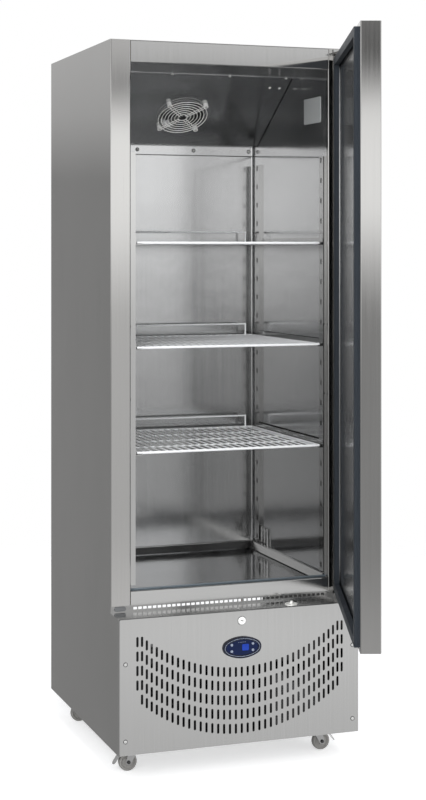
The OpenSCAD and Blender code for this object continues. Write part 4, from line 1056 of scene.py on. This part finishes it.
@dataclass
class Castors:
    """Forks, wheels and pedals.

    The wheel's web is given as pairs of radius and inset from the wheel's side, from the tyre to
    the bore.
    """

    axle_x: float = 0.280
    radius: float = 0.025
    width: float = 0.018
    turns: int = 48
    tread_steps: int = 9
    tread_share: float = 0.86
    shoulder_fall: float = 0.0012
    crown_fall: float = 0.0004
    web: Tuple[Tuple[float, float], ...] = (
        (0.0205, 0.0), (0.0188, 0.0004), (0.0178, 0.0035), (0.0095, 0.0042), (0.0082, 0.0006),
        (0.0031, 0.0))
    fork_half: float = 0.015
    bolt_head: Tuple[float, float] = (0.0048, 0.002)
    rows: Tuple[Tuple[str, float], ...] = (("front", 0.045), ("rear", 0.540))

    def build(self) -> None:
        """Dresses the forks and pedals, and adds the moulded wheels and the axle bolts."""
        for row, y in self.rows:
            for side, sign in (("left", -1), ("right", 1)):
                dress(Finish.CHROME, f"castor_fork_{row}_{side}")
                middle = at(sign * self.axle_x, y, self.radius)
                self.wheel(f"{row}_{side}", middle)
                self.axle(f"{row}_{side}", middle)
        dress(Finish.CHROME, "brake_pedal_left", "brake_pedal_right")

    def axle(self, name: str, middle: np.ndarray) -> None:
        """Adds the two dark heads of a castor's axle bolt.

        Args:
            name: the castor's name.
            middle: middle of the axle.
        """
        heads = [dome(*self.bolt_head).turned(Euler((turn * QUARTER, 0, 0)))
                 .moved(middle + np.array([0, -turn * self.fork_half, 0])) for turn in (1, -1)]
        piece(f"axle_bolt_{name}", Shell.joined(heads), Finish.ENAMEL, f"castor_{name}")

    def wheel(self, name: str, middle: np.ndarray) -> None:
        """Adds one wheel: a crowned tyre, dished webs and a hub round the axle.

        The tread's radius falls towards its edges by the crown times the squared way out, and by
        the shoulder times its fourth power.

        Args:
            name: the castor's name.
            middle: middle of the axle.
        """
        half = self.width / 2
        out = np.linspace(-1, 1, self.tread_steps)
        tread = np.stack([self.radius - self.shoulder_fall * out ** 4 - self.crown_fall * out ** 2,
                          out * half * self.tread_share], -1)
        side = np.array([(radius, half - inset) for radius, inset in self.web])
        profile = np.concatenate([tread, side, side[::-1] * np.array([1, -1])])
        shell = lathe(profile, self.turns).turned(FORWARD).moved(middle)
        piece(f"moulded_wheel_{name}", shell, Finish.TYRE, f"wheel_{name}",
              [f"castor_wheel_{name}"])


@dataclass(frozen=True)
class Sector:
    """How bright the studio is in one direction, for a bright metal that looks there.

    Attributes:
        azimuth: degrees from +Y towards +X.
        levels: pairs of elevation in degrees and brightness, from below to above.
    """

    azimuth: float
    levels: Levels


@dataclass(frozen=True)
class Lamp:
    """A square softbox.

    Attributes:
        name: its name.
        place: where it hangs.
        aim: the point that it faces.
        size: length of its sides.
        power: its power in watts.
    """

    name: str
    place: Vec3
    aim: Vec3
    size: float
    power: float


# Brightness by elevation that more than one sector has: in front, to the left and behind.
IN_FRONT: Levels = ((-17.0, 0.50), (-12.5, 0.52), (-9.5, 0.46), (-2.5, 0.46), (0.8, 1.20),
                    (4.8, 1.25), (6.2, 0.20), (9.0, 0.45), (20.0, 0.60))
TO_THE_LEFT: Levels = ((-12.0, 0.29), (2.4, 0.30), (4.6, 0.52), (7.0, 0.62), (20.0, 0.60))
BEHIND: Levels = ((-12.0, 1.0), (12.0, 1.0), (20.0, 0.9))


@dataclass
class Studio:
    """The pale floor, the soft lamps, the surround and the camera."""

    focal: float = 74.616
    sensor: float = 36.0
    reach: float = 100.0
    shift_y: float = -0.18875
    yaw: float = -19.72
    eye: Vec3 = (-1.5582, -4.1983, 1.3914)
    floor_half: float = 5.0
    floor_tones: Tuple[float, float] = (0.80, 0.84)
    floor_patches: Vec3 = (0.5, 0.5, 0.5)
    floor_rough: float = 0.9
    floor_shine: float = 0.1
    floor_glow: float = 0.5
    floor_fade: Tuple[float, float] = (2.4, 3.6)
    peak: float = 2.0
    soft_tone: Vec3 = (0.62, 0.63, 0.65)
    soft_level: float = 0.8
    sector_rise: float = 0.5
    ceiling: Tuple[float, float] = (29.0, 0.34)
    sectors: Tuple[Sector, ...] = (
        Sector(-180.0, IN_FRONT),
        Sector(-165.0, ((-15.0, 0.62), (-12.5, 0.52), (-10.5, 0.38), (-2.0, 0.36), (-0.4, 0.80),
                        (1.2, 1.40), (4.8, 1.40), (6.4, 0.10), (9.0, 0.35), (20.0, 0.60))),
        Sector(-150.0, ((-15.0, 0.40), (-9.0, 0.30), (-4.0, 0.34), (-3.0, 0.50), (0.2, 1.15),
                        (3.0, 1.50), (5.0, 0.30), (9.0, 0.45), (20.0, 0.60))),
        Sector(-118.0, ((-12.0, 0.60), (-5.0, 0.62), (-3.0, 0.90), (-0.5, 1.15), (1.0, 1.85),
                        (4.5, 1.95), (9.0, 1.00), (20.0, 1.00))),
        Sector(-85.0, TO_THE_LEFT),
        Sector(-14.0, TO_THE_LEFT),
        Sector(6.0, BEHIND),
        Sector(50.0, BEHIND),
        Sector(100.0, ((-12.0, 0.60), (0.0, 0.75), (20.0, 0.75))),
        Sector(148.0, ((-17.0, 0.70), (-13.0, 0.88), (-9.0, 0.56), (-2.0, 0.62), (1.0, 1.36),
                       (4.8, 1.28), (6.0, 0.98), (9.0, 0.80), (20.0, 0.70))),
        Sector(163.0, ((-17.0, 0.74), (-13.0, 0.94), (-9.5, 0.76), (-2.2, 0.82), (0.8, 1.42),
                       (4.2, 1.50), (5.6, 0.26), (7.0, 0.90), (9.0, 0.80), (20.0, 0.70))),
        Sector(180.0, IN_FRONT),
    )
    lamps: Tuple[Lamp, ...] = (
        Lamp("key_softbox", (-2.8, -3.2, 2.6), (0.0, 0.0, 1.0), 2.4, 110.0),
        Lamp("fill_softbox", (2.6, -3.4, 1.8), (0.0, 0.0, 0.9), 2.0, 55.0),
        Lamp("front_softbox", (-1.3, -4.6, 0.9), (0.0, 0.3, 1.3), 1.6, 95.0),
        Lamp("top_softbox", (0.0, -1.0, 3.8), (0.0, 0.0, 0.8), 2.6, 60.0),
    )

    def build(self) -> None:
        """Builds the studio round the object."""
        self.floor()
        self.surround()
        for lamp in self.lamps:
            self.hang(lamp)
        self.camera()

    def hang(self, lamp: Lamp) -> None:
        """Hangs a softbox. Metal shows the surround's bright sectors in its place.

        Args:
            lamp: its sizes and place.
        """
        light = bpy.data.lights.new(lamp.name, "AREA")
        light.size = lamp.size
        light.energy = lamp.power
        made = bpy.data.objects.new(lamp.name, light)
        made.location = lamp.place
        facing = Vector(lamp.aim) - Vector(lamp.place)
        made.rotation_euler = facing.to_track_quat("-Z", "Y").to_euler()
        made.visible_camera = False
        made.visible_glossy = False
        bpy.context.scene.collection.objects.link(made)

    def floor(self) -> None:
        """Adds the pale floor. It thins out to nothing some metres away, and metal doesn't show it."""
        half = self.floor_half
        mesh = bpy.data.meshes.new("studio_floor")
        mesh.from_pydata([(-half, -half, 0), (half, -half, 0), (half, half, 0), (-half, half, 0)], [],
                         [(0, 1, 2, 3)])
        material, graph, shader = new_material("studio_floor")
        shader.inputs["Roughness"].default_value = self.floor_rough
        shader.inputs["Specular IOR Level"].default_value = self.floor_shine
        shader.inputs["Emission Color"].default_value = (*PLAIN_WHITE, 1.0)
        patches = place_effect(graph, Effect.SMUDGE, self.floor_patches)
        dim, bright = ((tone,) * 3 for tone in self.floor_tones)
        graph.link(graph.ramp(patches, [(NOISE_LOW, dim), (NOISE_HIGH, bright)]),
                   shader.inputs["Base Color"])
        graph.link(graph.math("MULTIPLY", graph.seen(), self.floor_glow),
                   shader.inputs["Emission Strength"])
        away = graph.node("VectorMath", operation="LENGTH")
        graph.link(graph.coords((1.0, 1.0, 1.0)), away.inputs[0])
        whole = graph.remap(away.outputs["Value"], 1.0, 0.0, *self.floor_fade, "SMOOTHSTEP")
        ray = graph.node("LightPath")
        clear = graph.remap(ray.outputs["Is Glossy Ray"], 1.0, 0.0, 0.0, 1.0)
        graph.link(graph.math("MULTIPLY", whole, clear), shader.inputs["Alpha"])
        mesh.materials.append(material)
        made = bpy.data.objects.new("studio_floor", mesh)
        bpy.context.scene.collection.objects.link(made)

    def sector_tone(self, graph: Graph, height: Socket, levels: Levels) -> Socket:
        """Looks a sector's brightness up along the sine of the elevation.

        Args:
            graph: the surround's nodes.
            height: the sine, from 0 at the lowest that is told apart to 1 at the highest.
            levels: the sector's pairs of elevation and brightness.

        Returns:
            The brightness over the peak.
        """
        stops = [(0.5 + math.sin(math.radians(angle)) / (2 * self.sector_rise), (level / self.peak,) * 3)
                 for angle, level in (*levels, self.ceiling)]
        return graph.ramp(height, stops)

    def background(self, graph: Graph, tone: "Socket | Vec3", strength: float) -> Socket:
        """Adds a background.

        Args:
            graph: the surround's nodes.
            tone: its colour.
            strength: its strength, where 1 is white.

        Returns:
            The background's shader.
        """
        made = graph.node("Background")
        made.inputs["Strength"].default_value = strength
        if isinstance(tone, tuple):
            made.inputs["Color"].default_value = (*tone, 1.0)
        else:
            graph.link(tone, made.inputs["Color"])
        return made.outputs["Background"]

    def either(self, graph: Graph, test: Socket, no: Socket, yes: Socket) -> Socket:
        """Chooses between two shaders.

        Args:
            graph: the surround's nodes.
            test: 0 or 1.
            no: the shader for 0.
            yes: the shader for 1.

        Returns:
            The chosen shader.
        """
        made = graph.node("MixShader")
        for source, target in zip((test, no, yes), made.inputs):
            graph.link(source, target)
        return made.outputs["Shader"]

    def surround(self) -> None:
        """Builds the world: white for the camera, sectors for metal, and an even grey for the rest.

        The sectors' brightness is mixed round the compass, from each sector to the next.
        """
        world = bpy.data.worlds.new("studio_surround")
        bpy.context.scene.world = world
        world.use_nodes = True
        graph = Graph(world.node_tree)
        world.node_tree.nodes.clear()
        place = graph.node("TexCoord")
        axes = graph.node("SeparateXYZ")
        graph.link(place.outputs["Generated"], axes.inputs["Vector"])
        height = graph.remap(axes.outputs["Z"], 0.0, 1.0, -self.sector_rise, self.sector_rise)
        turn = graph.math("ARCTAN2", axes.outputs["X"], axes.outputs["Y"])
        tone = self.sector_tone(graph, height, self.sectors[0].levels)
        for before, sector in zip(self.sectors, self.sectors[1:]):
            share = graph.remap(turn, 0.0, 1.0, math.radians(before.azimuth),
                                math.radians(sector.azimuth), "SMOOTHSTEP")
            tone = graph.mix(share, tone, self.sector_tone(graph, height, sector.levels))
        around = self.background(graph, tone, self.peak)
        soft = self.background(graph, self.soft_tone, self.soft_level)
        plain = self.background(graph, PLAIN_WHITE, 1.0)
        ray = graph.node("LightPath")
        shown = self.either(graph, ray.outputs["Is Camera Ray"], around, plain)
        mixed = self.either(graph, graph.seen(), soft, shown)
        graph.link(mixed, graph.node("OutputWorld").inputs["Surface"])

    def camera(self) -> None:
        """Places the camera that was solved from the straight edges in the photograph."""
        lens = bpy.data.cameras.new("photo_camera")
        lens.lens = self.focal
        lens.sensor_width = self.sensor
        lens.shift_y = self.shift_y
        lens.clip_end = self.reach
        made = bpy.data.objects.new("photo_camera", lens)
        made.location = at(*self.eye)
        made.rotation_euler = (QUARTER, 0, math.radians(self.yaw))
        bpy.context.scene.collection.objects.link(made)
        bpy.context.scene.camera = made


def main() -> None:
    """Builds the studio and the sub-assemblies in order."""
    logging.basicConfig(level=logging.INFO, format="%(message)s")
    bpy.context.scene.view_settings.view_transform = "Standard"
    for part in (Studio(), Cabinet(), ColdRoom(), MachineBay(), Door(), Castors()):
        LOG.info("building %s", type(part).__name__)
        part.build()


if __name__ == "__main__":
    main()
